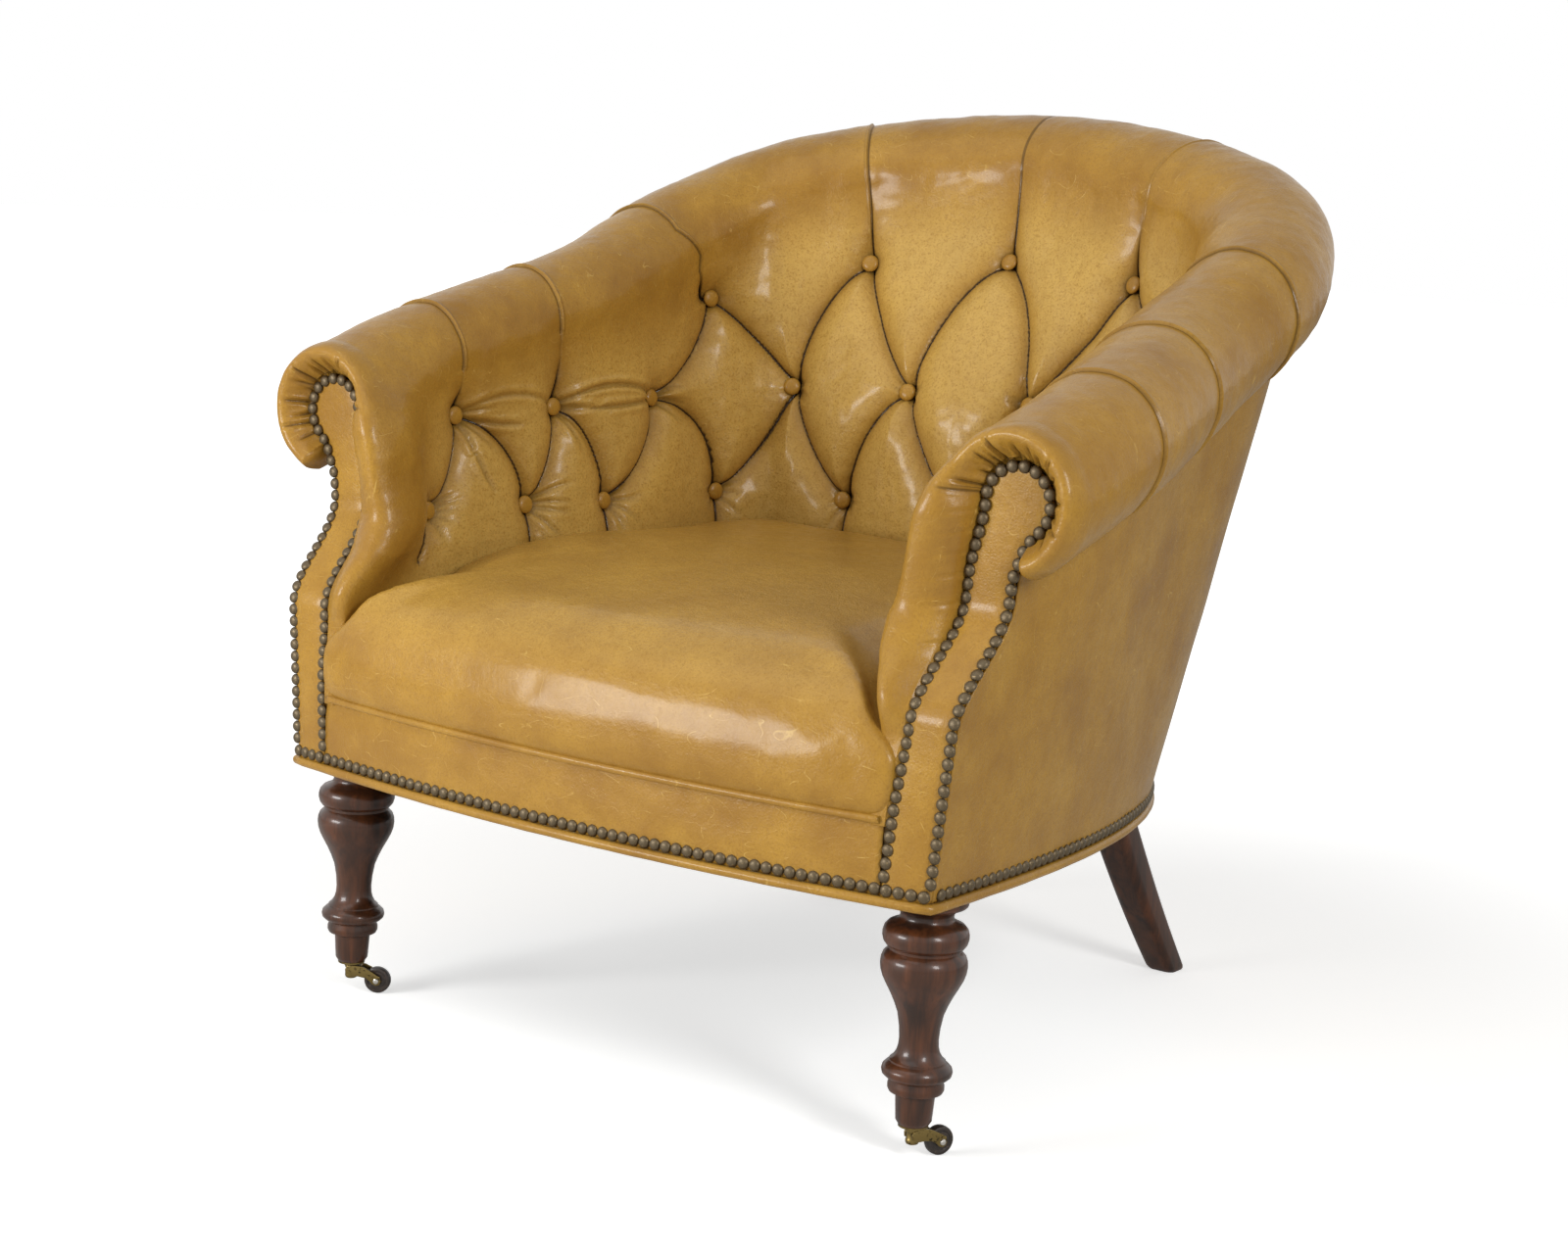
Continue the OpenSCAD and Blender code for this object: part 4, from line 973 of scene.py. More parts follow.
def stud(name, rows_of_points):
    """One dome at the origin, closed underneath."""
    return shape_grid(name, rows_of_points + (0, PLAN_MID, 0), caps=True)


def copied_to(name, pattern, places, outs):
    """One piece made of copies of the pattern, each at its place in mm and turned to its direction."""
    copies = []
    for place, out in zip(places, outs):
        copy = pattern.copy()
        copy.data = pattern.data.copy()
        bpy.context.collection.objects.link(copy)
        turn = Vector(out).to_track_quat("Z", "Y").to_matrix().to_4x4()
        at = Matrix.Translation((Vector(place) - Vector((0, PLAN_MID, 0))) * MM)
        copy.data.transform(at @ turn)
        copies.append(copy)
    bpy.ops.object.select_all(action="DESELECT")
    for copy in copies:
        copy.select_set(True)
    bpy.context.view_layer.objects.active = copies[0]
    bpy.ops.object.join()
    piece = bpy.context.object
    piece.name = name
    piece.data.name = name
    bpy.data.objects.remove(pattern)
    return piece


def inside_normal(f, z):
    """The direction square to the plain inside, out of the leather."""
    f = np.array([f, f])
    up = np.diff(inside_at(f, np.array([z - 15, z + 15])), axis=0)[0]
    o = roll_out(f[:1])[0]
    n = np.cross(up, (-o[1], o[0], 0))
    return n / np.linalg.norm(n)


BUTTON_SUNK = 13.8
places = []
outs = []
for (f, z), point in zip(BUTTONS, button_points):
    n = inside_normal(f, z)
    for side in ((1, -1) if f < 1 else (1,)):
        places.append((point - BUTTON_SUNK * n) * (side, 1, 1))
        outs.append(n * (side, 1, 1))
buttons = copied_to("covered_buttons", stud("button", dome_rows(9.2, 4.2, 2.5, 36, 9)), places, outs)
dress(buttons, leather, "chair", "button_leather", "tuft_buttons")

# %% [markdown]
# ## The seat
# A tight seat: leather drawn over a crowned foam block, square at the front corners and let in between
# the arms. Its outline is a smooth loop with sharper corners at the front, and each level of the seat is
# that outline, spread and lifted. A copy drawn in by a few per cent is the foam under the leather.

# %% Seat form
SEAT_HALF = FRONT_X - (ROLL_R + ARM_SWELL * smooth((ARM_Z - SEAT_Z) / 280)) - 6
plan = [(t * SEAT_HALF, bow_y(t * SEAT_HALF) - 8 * (1 - 0.3 * t * t)) for t in (0, 0.3, 0.6, 0.85)]
plan += [(SEAT_HALF, bow_y(SEAT_HALF) - 1), (SEAT_HALF - 6, 14)]
sides = np.linspace(0.03, 1, 17)
inner = inside_at(sides, np.full(17, SEAT_Z))[:, :2] - 1.5 * roll_out(sides)
plan = both_halves(np.vstack([plan, inner]))
corner = np.zeros(len(plan))
corner[[4, 5, -4, -5]] = 1
loop = np.column_stack([plan, corner])
loop = np.vstack([loop[-1:], loop, loop[:2]])
loop_u = np.linspace(0, 1, 1401)
walk = catmull(loop, loop_u)
run = run_length(walk[:, :2])
outline = catmull(loop, np.interp(np.linspace(0, run[-1], 301), run, loop_u))
SEAT_MID = np.array([0, inside_at(np.array([1.0]), np.array([SEAT_Z]))[0, 1] / 2])
# Each level: its spread from the middle, its height at the sides and at the front, and its crown
levels = np.array([
    [0.96, -0.07, -0.07, 0], [0.965, -0.065, -0.065, 0], [0.982, -0.03, -0.03, 0],
    [0.996, 0.05, 0.03, 0], [1.002, 0.2, 0.15, 0], [1.004, 0.4, 0.3, 0],
    [1, 0.6, 0.45, 0], [0.995, 0.78, 0.585, 0], [0.98, 0.91, 0.7, 0.02],
    [0.958, 0.98, 0.795, 0.07], [0.92, 1.01, 0.885, 0.17], [0.86, 1.015, 0.955, 0.33],
    [0.76, 1.01, 0.99, 0.55], [0.6, 1, 1, 0.78], [0.38, 1, 1, 0.93],
    [0.15, 1, 1, 1], [-0.12, 1, 1, 1]])
at_corner = np.clip(outline[:, 2], 0, 1)
frontal = smooth((200 - outline[:, 1]) / 190) * (1 - 0.55 * at_corner)
seat_rows = []
for spread, at_side, at_front, crown in catmull(levels, np.linspace(0, 1, 76)):
    height = lerp(at_side, at_front, frontal)
    draw = 1 - 0.04 * at_corner * smooth((height - 0.5) / 0.5)
    draw = draw + 0.075 * smooth((70 - outline[:, 1]) / 55) * (1 - smooth((height - 0.4) / 0.3))
    q = SEAT_MID + (outline[:, :2] - SEAT_MID) * np.stack([draw, np.ones_like(draw)], 1) * spread
    z = lerp(SEAM_Z, SEAT_Z, height) + SEAT_CROWN * crown
    z = z - np.clip(height, 0, 1) * 24 * smooth((SEAT_MID[1] - q[:, 1]) / SEAT_MID[1])
    seat_rows.append(np.column_stack([q, z]))
floor_row = np.column_stack([SEAT_MID + (seat_rows[0][:, :2] - SEAT_MID) * 0.9, seat_rows[0][:, 2]])
bottom = np.tile(np.append(SEAT_MID, seat_rows[0][0, 2]), (len(outline), 1))
top = np.tile(seat_rows[-1].mean(axis=0), (len(outline), 1))
seat_rows = np.array([bottom, floor_row] + seat_rows + [top])
seat = shape_grid("seat_leather", seat_rows)

FOAM_SPREAD = 0.965
FOAM_DROP = 11
foam_rows = (seat_rows - (*SEAT_MID, 0)) * (FOAM_SPREAD, FOAM_SPREAD, 1) + (*SEAT_MID, 0)
foam_rows[:, :, 2] -= FOAM_DROP * (foam_rows[:, :, 2] > SEAM_Z + 12)
block = shape_grid("seat_foam_block", foam_rows)
dress(block, foam, "chair", "foam", "seat_foam")

# %% [markdown]
# ### Air in the seat
# Cloth with air in it swells most where nothing holds it, as stuffed leather does. The seat is remeshed
# evenly for that and held along its lower edge, where it is sewn to the welt. It moves a few
# millimetres only, so it still fits between the arms, and slow waves are laid on it afterwards.

# %% Air in the seat
CLOTH = {"quality": 4, "mass": 0.4, "tension_stiffness": 25, "compression_stiffness": 25,
         "bending_stiffness": 4, "use_pressure": True, "uniform_pressure_force": 4.0}


def inflate(piece, limit, held_below, frames=16):
    """Runs the piece as cloth with air in it. Points below a height in m stay, none moves over limit."""
    start = vertex_places(piece)
    held = piece.vertex_groups.new(name="held")
    held.add([int(i) for i in np.flatnonzero(start[:, 2] < held_below)], 1.0, "REPLACE")
    cloth = piece.modifiers.new("cloth", "CLOTH")
    for name, value in CLOTH.items():
        setattr(cloth.settings, name, value)
    cloth.settings.vertex_group_mass = "held"
    cloth.settings.effector_weights.gravity = 0
    cloth.collision_settings.use_collision = False
    cloth.point_cache.frame_start = 1
    cloth.point_cache.frame_end = frames
    for moment in range(1, frames + 1):
        bpy.context.scene.frame_set(moment)
    select_only(piece)
    bpy.ops.object.modifier_apply(modifier="cloth")
    bpy.context.scene.frame_set(1)
    move = vertex_places(piece) - start
    size = np.linalg.norm(move, axis=1)
    kept_size = limit * np.tanh(size / limit)
    end = start + move * (kept_size / np.maximum(size, 1e-9))[:, None]
    piece.data.vertices.foreach_set("co", end.ravel())
    piece.vertex_groups.clear()
    print(piece.name, "swelled by up to", round(float(kept_size.max() / MM), 1), "mm")


add_modifier(seat, "REMESH", mode="VOXEL", voxel_size=0.006, use_smooth_shade=True)
inflate(seat, 0.005, (SEAM_Z + 6) * MM)
add_modifier(seat, "SMOOTH", factor=0.5, iterations=4)
add_modifier(seat, "SUBSURF", levels=1, render_levels=1)
select_only(seat)
bpy.ops.object.shade_smooth()
seat_points = vertex_places(seat)
wrinkle = 0.3 * waves(seat_points / MM, 150, 7) + 0.1 * waves(seat_points / MM * (1, 0.5, 1), 30, 8)
seat_points[:, 2] += wrinkle * MM * smooth((seat_points[:, 2] / MM - SEAM_Z) / 40)
seat.data.vertices.foreach_set("co", seat_points.ravel())
# The seat is painted paler towards its top
wear_and_light_attribute = seat.data.attributes.new("worn", "FLOAT", "POINT")
wear_and_light_attribute.data.foreach_set("value", 0.35 * smooth((seat_points[:, 2] / MM - SEAM_Z - 40) / 60))
dress(seat, leather, "chair", "leather", "seat_cover")

# %% [markdown]
# ## Outside leather
# One smooth piece goes from the welt to just under the roll. It is pulled tight over the frame, so only
# long shallow ripples show in it.

# %% Outside leather
WELT_R = 4.5
WELT_OUT = 2
half_f = np.concatenate([np.linspace(1, 0.06, 150), np.linspace(0.056, 0, 20)])
# The leather ends where it meets the welt's round side
skirt_z = BASE_Z + math.sqrt(WELT_R ** 2 - WELT_OUT ** 2) + 0.4


def outside_at(f, t):
    """Points of the outside at shares f along the roll and t of the way up from the base."""
    high = roll_underside(f)
    low = base_at(f)
    z = lerp(BASE_Z, high[:, 2], t)
    p = low + (high[:, :2] - low) * t[:, None]
    p[:, 1] += (front_y(z) + 3 - ARM_SETBACK * t) * sweep_fade(f)
    return np.column_stack([p, z])


def way_up(f, z):
    """The share of the way up the outside at which it passes the height z."""
    return (z - BASE_Z) / (roll_underside(f)[:, 2] - BASE_Z)


first = way_up(half_f, skirt_z)
outside_rows = np.array([outside_at(half_f, lerp(first, 1, t)) for t in np.linspace(0, 1, 90)])
shell = mirrored(outside_rows)
out = grid_normals(shell)
# One point of the right side tells whether the normals point outwards
if out[40, -60, 0] < 0:
    out = -out
flat_shell = shell.reshape(-1, 3)
ripple = 0.4 * waves(flat_shell, 140, 21) + 0.144 * waves(flat_shell * (1, 1, 0.35), 30, 22)
shell = shell + out * ripple.reshape(shell.shape[:2])[:, :, None]
outside = shape_grid("outside_leather", shell, closed=False)
add_modifier(outside, "SOLIDIFY", thickness=0.0022, offset=-1)
dress(outside, leather, "chair", "leather", "outside_cover")

# %% [markdown]
# ## Arm fronts and front rail
# Each arm front is a narrow panel that widens into a round scroll, lightly padded between its two rows
# of nails. A strip of leather covers the front rail between them. Both are single layers, so each is a
# grid that the Solidify modifier gives the leather's thickness.

# %% Arm front panels
def front_leather(name, points, node):
    """A sheet of leather that faces the front."""
    sheet = shape_grid(name, points, closed=False)
    if sum(p.normal.y * p.area for p in sheet.data.polygons) > 0:
        sheet.data.flip_normals()
    add_modifier(sheet, "SOLIDIFY", thickness=0.002, offset=-1)
    dress(sheet, leather, "chair", "leather", node)


round_z = SCROLL_Z + SCROLL_R * np.sin(np.radians(np.linspace(0, 89, 26)))
panel_z = np.concatenate([np.linspace(skirt_z, SCROLL_Z, 90)[:-1], round_z])
panel_u = np.concatenate([[-0.04], np.linspace(0, 1, 15), [1.03]])
panel_back = np.concatenate([[3.5], np.zeros(15), [4]])
panel_rows = []
for z in panel_z:
    a, b = panel_in(z) + 0.5, panel_out(z) - 1.4
    x = np.clip(a + (b - a) * panel_u, a - 0.6, b + 1.1)
    puff = 2.2 * (1 - np.abs(2 * np.clip(panel_u, 0, 1) - 1) ** 3)
    y = panel_y(x, z) - 1 - puff + panel_back
    panel_rows.append(np.column_stack([x, y, np.full(len(x), z)]))
for side, name in SIDES:
    front_leather("arm_front_leather_" + name, np.array(panel_rows) * (side, 1, 1), "arm_front_" + name)

# %% Front rail
rail_x = np.linspace(-1, 1, 121) * (HALF_W - PANEL_W - 0.2)
rail_z = np.linspace(skirt_z, SEAM_Z - 7.6, 26)
rail_rows = []
for z in rail_z:
    t = (z - skirt_z) / (rail_z[-1] - skirt_z)
    y = bow_y(rail_x) - 1.6 * math.sin(math.pi * t) - 0.4
    rail_rows.append(np.column_stack([rail_x, y, np.full(len(rail_x), z)]))
rail_rows = np.array(rail_rows)
rail_rows[:, :, 1] -= 0.35 * waves(rail_rows * (0.4, 1, 1), 26, 31)
front_leather("front_rail_leather", rail_rows, "front_rail_cover")

# %% [markdown]
# ## Welts
# A welt is a strip of leather folded round a cord and sewn into the seam. One runs along the seat's
# seam and a thicker one round the bottom edge, each as a round tube a little uneven along its length.

# %% Welts
def welt(name, path, radius, closed_loop, node, turns=12):
    """A round cord along a path in mm."""
    d = unit(np.roll(path, -1, 0) - np.roll(path, 1, 0) if closed_loop else np.gradient(path, axis=0))
    side = unit(np.cross((0, 0, 1), d))
    up = np.cross(d, side)
    a = np.linspace(0, 2 * np.pi, turns + 1)
    r = radius * (1 + 0.03 * waves(path, 40, 41))[:, None, None]
    points = path[:, None] + r * (np.cos(a)[:, None] * side[:, None] + np.sin(a)[:, None] * up[:, None])
    if closed_loop:
        points = np.concatenate([points, points[:1]])
    dress(shape_grid(name, points, caps=not closed_loop), leather, "chair", "welt_leather", node)


seam_x = np.linspace(-1, 1, 180) * (HALF_W - PANEL_W - 3)
seam_path = np.column_stack([seam_x, bow_y(seam_x) - 1.5, np.full(180, SEAM_Z - 6)])
welt("seat_welt_cord", seam_path, 3.7, False, "seat_welt")

x = np.linspace(0, 0.97, 90) * HALF_W
f = np.linspace(0.012, 1, 200)
front_part = np.column_stack([x, bow_y(x) - WELT_OUT])
side_part = base_at(f) + WELT_OUT * base_out(f)
edge_path = both_halves(np.vstack([front_part, [[HALF_W + 1, -0.6]], side_part]))
edge_path = np.column_stack([edge_path, np.full(len(edge_path), BASE_Z)])
welt("bottom_welt_cord", edge_path, WELT_R, True, "bottom_welt")

# %% [markdown]
# ## Nails
# The nails stand head to head. One domed head is shaped, then copied along each line of trim at an even
# step, square to the leather.

# %% Nails
PITCH = 11.3
NAIL_Z = BASE_Z + 10
NAIL_HEAD = dome_rows(5.6, 3.7, 0.8, 16, 6)


def set_nails(name, spots, outs, node):
    nails = copied_to(name, stud("nail", NAIL_HEAD), spots, outs)
    dress(nails, bronze, "chair", "nail_bronze", node)


def evenly(path, step):
    """Points along the path, at the even step nearest to the given one."""
    run = run_length(path)
    count = int(run[-1] / step + 0.5)
    goal = np.linspace(0, run[-1], count + 1)
    return np.stack([np.interp(goal, run, path[:, k]) for k in range(3)], 1)


def edge_points(x, z):
    """Places on the padded arm front for the undersides of the heads."""
    return np.column_stack([x, panel_y(x, z) - 1.2 - 1.8 * smooth((z - 480) / 60), z])


z = np.arange(NAIL_Z + PITCH, NECK_JOIN, 6)
outer_line = edge_points(panel_out(z) - 1.5, z)
a = np.radians(np.arange(-40, 171, 5))
loop_line = edge_points(FRONT_X + (SCROLL_R - 1.5) * np.cos(a), SCROLL_Z + (SCROLL_R - 1.5) * np.sin(a))
z = np.linspace(SCROLL_Z, NAIL_Z + PITCH, 60)
inner_line = edge_points(panel_in(z) + 1.5, z)
arm_spots = evenly(np.vstack([outer_line, loop_line, inner_line]), PITCH)
slope = (front_y(arm_spots[:, 2] + 1) - front_y(arm_spots[:, 2] - 1)) / 2
arm_outs = np.column_stack([np.zeros(len(slope)), -np.ones(len(slope)), slope])
for side, name in SIDES:
    flip = (side, 1, 1)
    set_nails("arm_front_nails_" + name, arm_spots * flip, arm_outs * flip, "arm_nails_" + name)

x = np.linspace(-1, 1, 49) * (HALF_W - 4)
on_panel = smooth((np.abs(x) - HALF_W + PANEL_W + 4) / 8)
spots = evenly(np.column_stack([x, bow_y(x) - 0.8 - 2.0 * on_panel, np.full(49, NAIL_Z)]), PITCH)
outs = np.column_stack([2 * BOW * spots[:, 0] / HALF_W ** 2, -np.ones(len(spots)), np.zeros(len(spots))])
set_nails("front_rail_nails", spots, outs, "front_nails")

# The outside leans out towards the top, so the heads on it face down a little
NAIL_DROP = 0.12
f = np.linspace(0.012, 1, 120)
spots = evenly(outside_at(f, way_up(f, NAIL_Z)), PITCH)
outs = np.column_stack([to_right_of(np.gradient(spots, axis=0)[:, :2]), np.full(len(spots), -NAIL_DROP)])
outs[-1] = (0, 1, -NAIL_DROP)
spots = np.vstack([spots, spots[:-1] * (-1, 1, 1)])
outs = np.vstack([outs, outs[:-1] * (-1, 1, 1)])
set_nails("side_and_back_nails", spots, outs, "side_nails")

# %% [markdown]
# ## Turned front legs
# A turner works from a profile: beads, coves, a long vase and a small foot. The profile is a line that
# the Screw modifier turns through a full circle, as a lathe does. The modifier also joins points less
# than 10 mm apart unless it is given another distance, so it is given a tiny one.

# %% Front legs
LEG_X = 330
LEG_Y = 48
FOOT_Z = 30.5
# The profile's points are radii, as shares of the neck's radius, and heights above the foot in mm. It is
# as tall as TURNING_TOP, where it meets the base, and goes on a little into the frame
NECK_R = 18.5
TURNING_TOP = 198.7
TURNING = np.array([
    (0, 0), (0.69, 0), (0.74, 1.2), (0.84, 4), (0.88, 15), (0.92, 26.5), (1.24, 29),
    (1.31, 31.5), (1.31, 35), (1.25, 38), (1.25, 39.5), (1.45, 41.5), (1.6, 44), (1.64, 47),
    (1.6, 50), (1.45, 52.8), (1.31, 54.5), (1.3, 56), (1.14, 58.5), (1.0, 63), (0.93, 68),
    (0.91, 74), (0.95, 84), (1.07, 96), (1.26, 105), (1.47, 113), (1.68, 120), (1.86, 126.5),
    (1.96, 132), (2.0, 137.5), (1.98, 142), (1.9, 146), (1.74, 149), (1.66, 150.3), (1.66, 152.6),
    (1.8, 154), (1.92, 157), (1.98, 161), (1.98, 164.5), (1.92, 168.5), (1.76, 171.8), (1.5, 173.8),
    (1.32, 175.5), (1.22, 178.5), (1.24, 182), (1.38, 185), (1.6, 187), (1.78, 188.4), (1.84, 189.6),
    (1.87, 191.4), (1.84, 193.2), (1.75, 194), (1.52, 194.4), (1.52, 202), (0, 202)])


def turned_piece(name, profile, x, y, steps=72):
    """A profile of (radius, height) points in mm, turned about the upright line through x, y."""
    mesh = bpy.data.meshes.new(name)
    line = [(r * MM, 0, z * MM) for r, z in profile]
    mesh.from_pydata(line, [(i, i + 1) for i in range(len(line) - 1)], [])
    piece = bpy.data.objects.new(name, mesh)
    bpy.context.collection.objects.link(piece)
    add_modifier(piece, "SCREW", angle=2 * math.pi, steps=steps, render_steps=steps, use_merge_vertices=True,
                 merge_threshold=1e-6)
    mesh.transform(Matrix.Translation((x * MM, (y - PLAN_MID) * MM, 0)))
    bpy.ops.object.mode_set(mode="EDIT")
    bpy.ops.mesh.select_all(action="SELECT")
    bpy.ops.mesh.remove_doubles(threshold=1e-6)
    bpy.ops.mesh.normals_make_consistent(inside=False)
    bpy.ops.object.mode_set(mode="OBJECT")
    bpy.ops.object.shade_smooth_by_angle(angle=math.radians(38))
    return piece


leg_scale = (BASE_Z - FOOT_Z) / TURNING_TOP
profile = [(NECK_R * r, min(FOOT_Z + leg_scale * z, BASE_Z + 3)) for r, z in TURNING]
for side, name in SIDES:
    leg = turned_piece("turned_leg_" + name, profile, side * LEG_X, LEG_Y)
    dress(leg, walnut, "chair", "leg_wood", "front_leg_" + name)

# %% [markdown]
# ## Rear legs
# Each is sawn from a board to a backward curve, tapers to the floor and has its corners rounded. The
# loft below follows that curve with a rounded square that grows towards the seat.

# %% Rear legs
REAR_W = 44
REAR_FOOT_W = 33
REAR_X = 178
REAR_Y = 594
REAR_SPLAY = 29
REAR_RAKE = 136
REAR_CURVE = 5


def rounded_square(width, steps=6, share=0.26):
    """A closed outline whose corners are rounded by a share of the width."""
    points = []
    for quarter in range(4):
        cx = (0.5 - share) * width * np.sign(math.cos(math.radians(quarter * 90 + 45)))
        cy = (0.5 - share) * width * np.sign(math.sin(math.radians(quarter * 90 + 45)))
        for i in range(steps + 1):
            a = math.radians(quarter * 90 + i * 90 / steps)
            points.append((cx + share * width * math.cos(a), cy + share * width * math.sin(a)))
    return np.array(points + points[:1])


for side, name in SIDES:
    leg_rows = []
    for t in [0, 0.008, 0.02] + list(np.linspace(0.05, 1.0, 30)):
        w = lerp(REAR_FOOT_W, REAR_W, t ** 0.8) - 4 * max(0, 1 - t / 0.02) ** 2
        x = REAR_X + REAR_SPLAY * (1 - t)
        y = REAR_Y + REAR_RAKE * (1 - t) - REAR_CURVE * math.sin(math.pi * (1 - t) ** 1.4)
        ring = rounded_square(w) + (x, y)
        leg_rows.append(np.column_stack([ring, np.full(len(ring), t * BASE_Z)]))
    leg = shape_grid("raked_leg_" + name, np.array(leg_rows) * (side, 1, 1), caps=True)
    bpy.ops.object.shade_smooth_by_angle(angle=math.radians(50))
    dress(leg, walnut, "chair", "leg_wood", "rear_leg_" + name)

# %% [markdown]
# ## Casters
# A small brass caster: a stem and hub, two leaf-shaped cheeks with a bridge over the wheel, a bright
# riveted pin and a narrow dark wheel. The wheel trails 27 mm behind the swivel line.

# %% Casters
TRAIL = 27
AXLE_Z = 13
# Where each caster's swivel line stands, and how far it is turned in degrees
CASTER_TURNS = {"left": (-LEG_X, 28), "right": (LEG_X, 66)}


def to_caster(piece, name, lying):
    """Puts a piece modelled about its own axis in place: lying pieces turn onto the wheel's axle."""
    x, turn = CASTER_TURNS[name]
    stand = Matrix.Translation((x * MM, (LEG_Y - PLAN_MID) * MM, 0))
    stand = stand @ Matrix.Rotation(math.radians(turn), 4, "Z")
    if lying:
        stand = stand @ Matrix.Translation((TRAIL * MM, 0, AXLE_Z * MM))
        stand = stand @ Matrix.Rotation(math.pi / 2, 4, "X")
    piece.data.transform(stand)
    return piece


def plain_turned(name, profile, steps=40):
    return turned_piece(name, profile, 0, PLAN_MID, steps)


# The cheek's outline, from the swivel line backwards and up from the floor
LEAF = [
    (-4, 18), (-4.5, 22.5), (-2, 26), (5, 27), (13, 26.2), (19, 23.6), (25, 20.5), (30.5, 17.5),
    (32, 13), (30.5, 9.5), (27, 8.2), (23.5, 9.5), (20.5, 12.5), (16, 15), (9, 16), (2, 15.6)]
# Turned profiles: radius and height, or radius and place along the axle
WHEEL = [(2.1, -4.5), (4.6, -4.5), (5.2, -3.6), (8.6, -3.4), (9.4, -4.2), (11.2, -4.4), (12.3, -3.9),
         (12.8, -2.6), (13, 0), (12.8, 2.6), (12.3, 3.9), (11.2, 4.4), (9.4, 4.2), (8.6, 3.4),
         (5.2, 3.6), (4.6, 4.5), (2.1, 4.5), (2.1, -4.5)]
HUB = [(0, 12.6), (3.4, 12.6), (5.2, 13.4), (5.9, 15), (5.9, 17.2), (5.4, 18), (5.4, 23.2), (6.2, 24),
       (6.6, 25.4), (6.4, 27), (5.2, 28), (4, 28.6), (4, 52), (0, 52)]
PIN = [(0, -8.6), (1.4, -8.5), (2.5, -8.0), (2.9, -7.2), (2.0, -7.0), (2.0, 7.0), (2.9, 7.2),
       (2.5, 8.0), (1.4, 8.5), (0, 8.6)]


def cheek(y):
    """One of the fork's two leaves, y mm beside the wheel's middle."""
    mesh = bpy.data.meshes.new("cheek")
    mesh.from_pydata([(a * MM, y * MM, b * MM) for a, b in LEAF], [], [list(range(len(LEAF)))])
    piece = bpy.data.objects.new("cheek", mesh)
    bpy.context.collection.objects.link(piece)
    add_modifier(piece, "SOLIDIFY", thickness=0.002, offset=0)
    add_modifier(piece, "BEVEL", width=0.0006, segments=3, limit_method="ANGLE",
                 angle_limit=math.radians(40))
    return piece


BRIDGE_SIZE = Vector((13, 11.6, 3.4))
BRIDGE_AT = Vector((4.2, 0, 24.6))
for name in CASTER_TURNS:
    fork = plain_turned("caster_fork_" + name + "_brass", HUB)
    arms = [cheek(y) for y in (-6.0, 6.0)]
    bpy.ops.mesh.primitive_cube_add(size=1)
    bridge = bpy.context.object
    bridge.data.transform(Matrix.Translation(BRIDGE_AT * MM) @ Matrix.Diagonal((*BRIDGE_SIZE * MM, 1)))
    add_modifier(bridge, "BEVEL", width=0.0008, segments=3)
    bpy.ops.object.select_all(action="DESELECT")
    for part in [fork, bridge] + arms:
        part.select_set(True)
    bpy.context.view_layer.objects.active = fork
    bpy.ops.object.join()
    to_caster(fork, name, False)
    bpy.ops.object.shade_smooth_by_angle(angle=math.radians(35))
    dress(fork, brass, "caster_" + name, "caster_brass", "caster_fork_" + name)
    wheel = to_caster(plain_turned("caster_wheel_" + name + "_tread", WHEEL, 56), name, True)
    dress(wheel, tread, "wheel_" + name, "caster_tyre", "caster_wheel_" + name)
    pin = to_caster(plain_turned("caster_pin_" + name + "_steel", PIN, 28), name, True)
    dress(pin, steel, "caster_" + name, "axle_steel", "caster_axle_" + name)

# %% [markdown]
# ## Dust cloth
# The black cloth is stapled under the rails and sags a few millimetres between them.

# %% Dust cloth
RIM_IN = 8
SAG = 3.0
f = np.linspace(0, 1, 61)[1:]
rim_x = np.linspace(0, 1, 30) * (HALF_W - RIM_IN)
rim = [np.column_stack([rim_x, bow_y(rim_x) + RIM_IN]), base_at(f) - RIM_IN * base_out(f)]
rim = both_halves(np.vstack(rim))
rim = np.vstack([rim, rim[:1]])
middle = np.array([0, 300.0])
cloth_rows = []
for s in np.linspace(0, 1, 24):
    z = np.full(len(rim), BASE_Z - 0.9 - SAG * (1 - s * s))
    cloth_rows.append(np.column_stack([middle + (rim - middle) * s, z]))
cloth = shape_grid("dust_cloth", np.array(cloth_rows))
add_modifier(cloth, "SOLIDIFY", thickness=0.0006, offset=0)
dress(cloth, cambric, "chair", "dust_cloth", "dust_cover")
# The rim's points as seen from the middle, each with the next one round it
a, b = rim[:-1] - middle, rim[1:] - middle

# %% [markdown]
# ## The frame's own nodes
# The rails, posts, webbing, bolts and caster sockets keep the shape that the frame gives them, so only
# their finish is set.

# %% Finishes of the frame's own nodes
NODE_FINISH = {"seat_rail": pine, "corner_blocks": pine, "arm_post": pine, "frame_uprights": pine,
               "top_rail": pine, "seat_webbing": jute, "leg_bolts": steel, "caster_socket": brass}
for node_name, node_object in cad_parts.items():
    for start_of_name, material in NODE_FINISH.items():
        if node_name.startswith(start_of_name):
            node_object.data.materials.clear()
            node_object.data.materials.append(material)

# %% [markdown]
# ## Floor, light and background
# The photograph is a studio cut-out: a white ground, a soft shadow and large softboxes whose
# reflections lie on every tuft. Three area lamps stand in for them. The ground glows a little for the
# camera alone, more and more away from the chair, so that the shadow fades out into white. The world is
# white to the camera and in reflections, and a plain grey fill for the object's own light.

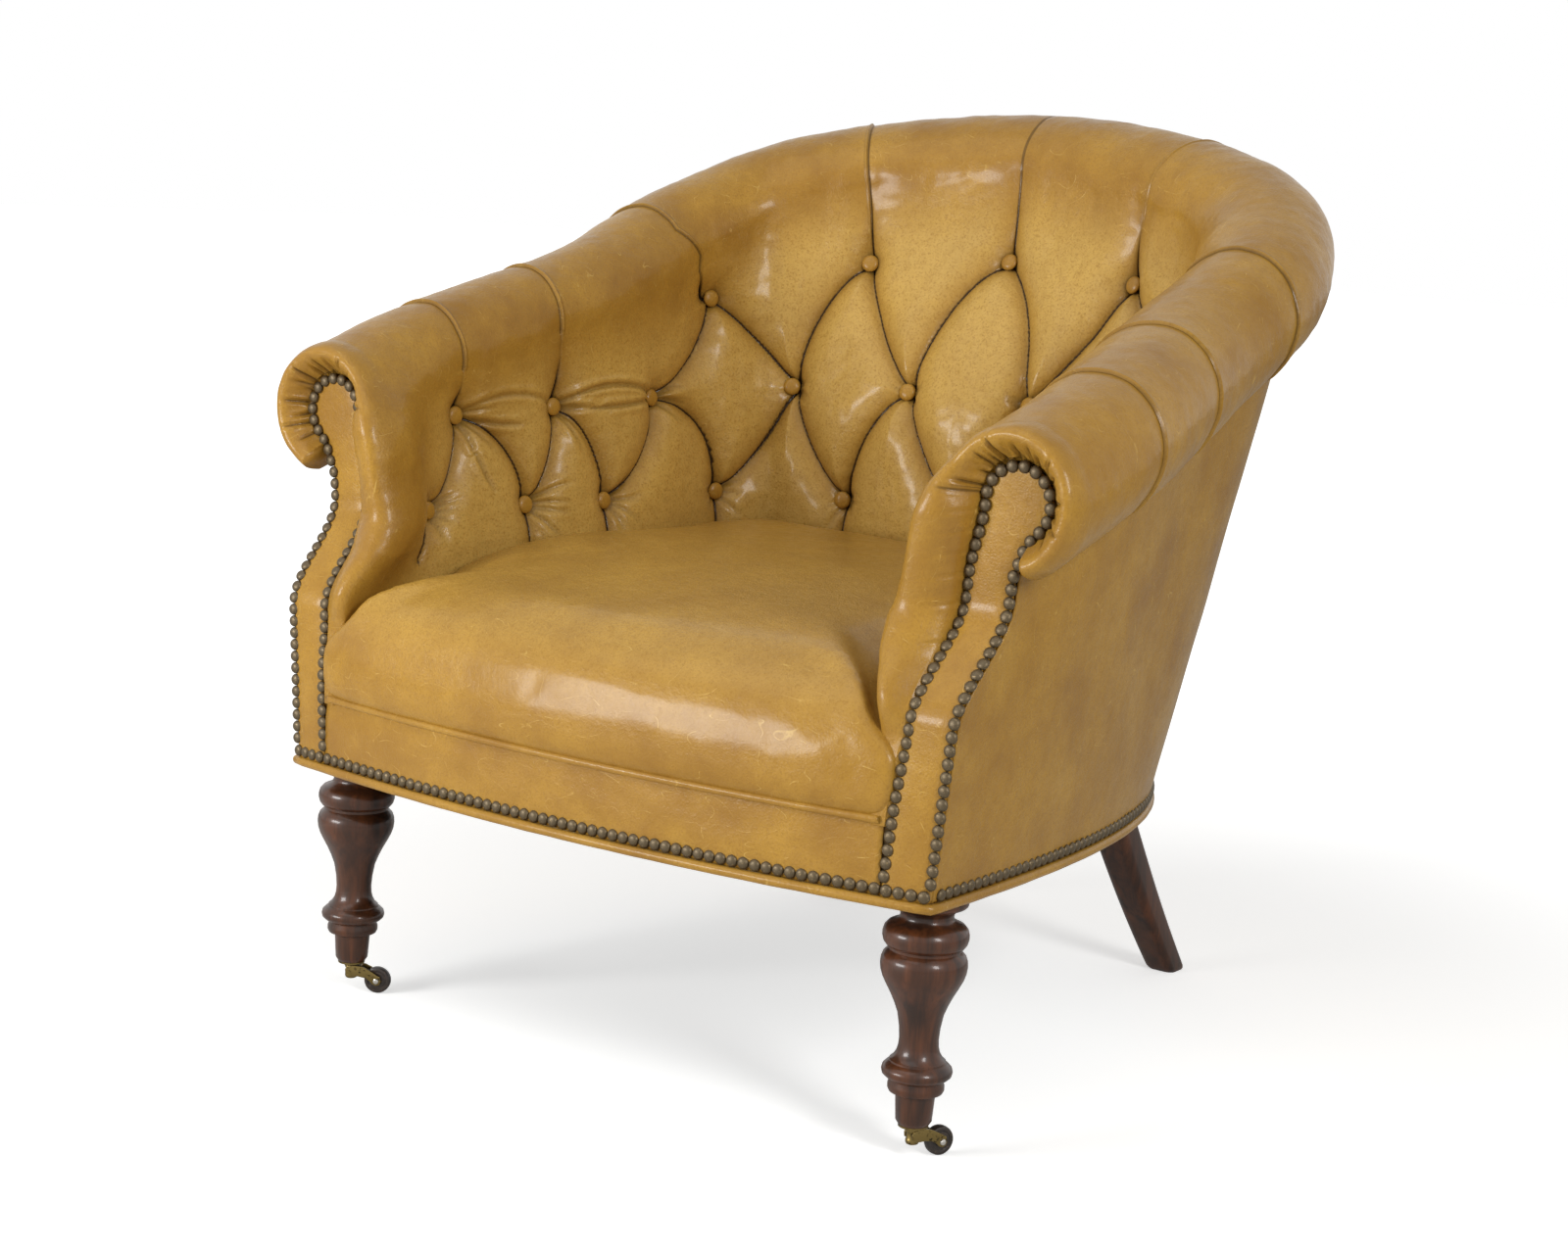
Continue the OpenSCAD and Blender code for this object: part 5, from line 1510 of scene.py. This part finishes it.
# %% Floor
bpy.ops.mesh.primitive_plane_add(size=40, location=(0, 0, 0))
ground = bpy.context.object
ground.name = "ground"
paper, tree, shader, place = new_material("white_paper_ground", Base_Color=linear("#F4F4F2"), Roughness=0.9,
                                          Specular_IOR_Level=0.1)
rays = add_node(tree, "LightPath", {})
away = add_node(tree, "VectorMath", {0: place}, operation="LENGTH").outputs["Value"]
edge = add_node(tree, "MapRange", {0: away, 1: 0.6, 2: 2.2, 3: 0.5, 4: 1.0}, interpolation_type="SMOOTHSTEP")
seen = add_node(tree, "Math", {0: rays.outputs["Is Camera Ray"], 1: edge.outputs[0]}, operation="MULTIPLY")
glow = add_node(tree, "Emission", {"Color": (1, 1, 1, 1), "Strength": seen.outputs[0]})
both = add_node(tree, "AddShader", {0: shader.outputs[0], 1: glow.outputs[0]})
tree.links.new(both.outputs[0], tree.nodes["Material Output"].inputs["Surface"])
ground.data.materials.append(paper)
ground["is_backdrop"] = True

# %% World and lamps
world = bpy.data.worlds.new("studio")
bpy.context.scene.world = world
world.use_nodes = True
tree = world.node_tree
tree.nodes.clear()
rays = add_node(tree, "LightPath", {})
first_kind = add_node(tree, "Math", {0: rays.outputs["Is Camera Ray"], 1: rays.outputs["Is Glossy Ray"]},
                      operation="MAXIMUM")
shown = add_node(tree, "Math", {0: first_kind.outputs[0], 1: rays.outputs["Is Transmission Ray"]},
                 operation="MAXIMUM")
fill = add_node(tree, "Background", {"Color": (1, 1, 1, 1), "Strength": 0.27})
white = add_node(tree, "Background", {"Color": (1, 1, 1, 1), "Strength": 1.0})
either = add_node(tree, "MixShader", {0: shown.outputs[0], 1: fill.outputs[0], 2: white.outputs[0]})
add_node(tree, "OutputWorld", {"Surface": either.outputs[0]})


def softbox(name, at, aim, size, power):
    bpy.ops.object.light_add(type="AREA", location=at)
    lamp = bpy.context.object
    lamp.name = name
    lamp.data.shape = "RECTANGLE"
    lamp.data.size, lamp.data.size_y = size
    lamp.data.energy = power
    lamp.rotation_euler = (Vector(aim) - Vector(at)).to_track_quat("-Z", "Y").to_euler()


softbox("key_softbox", (-1.1, -2.4, 0.85), (0, 0, 0.5), (1.1, 0.6), 43)
softbox("overhead_softbox", (-0.3, -1.1, 2.4), (0, 0.1, 0.5), (2.2, 1.6), 12)
softbox("side_softbox", (2.5, -1.2, 1.7), (0, 0, 0.5), (0.6, 1.0), 37)
bpy.context.scene.view_settings.view_transform = "Standard"

# %% [markdown]
# ## Sizes
# The box of the imported frame and that of the dressed chair are set side by side, as lists of numbers.

# %% Sizes and the end
both_boxes = {"cad": cad_box, "visual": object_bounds()}
both_boxes = {name: [list(map(float, corner)) for corner in box] for name, box in both_boxes.items()}
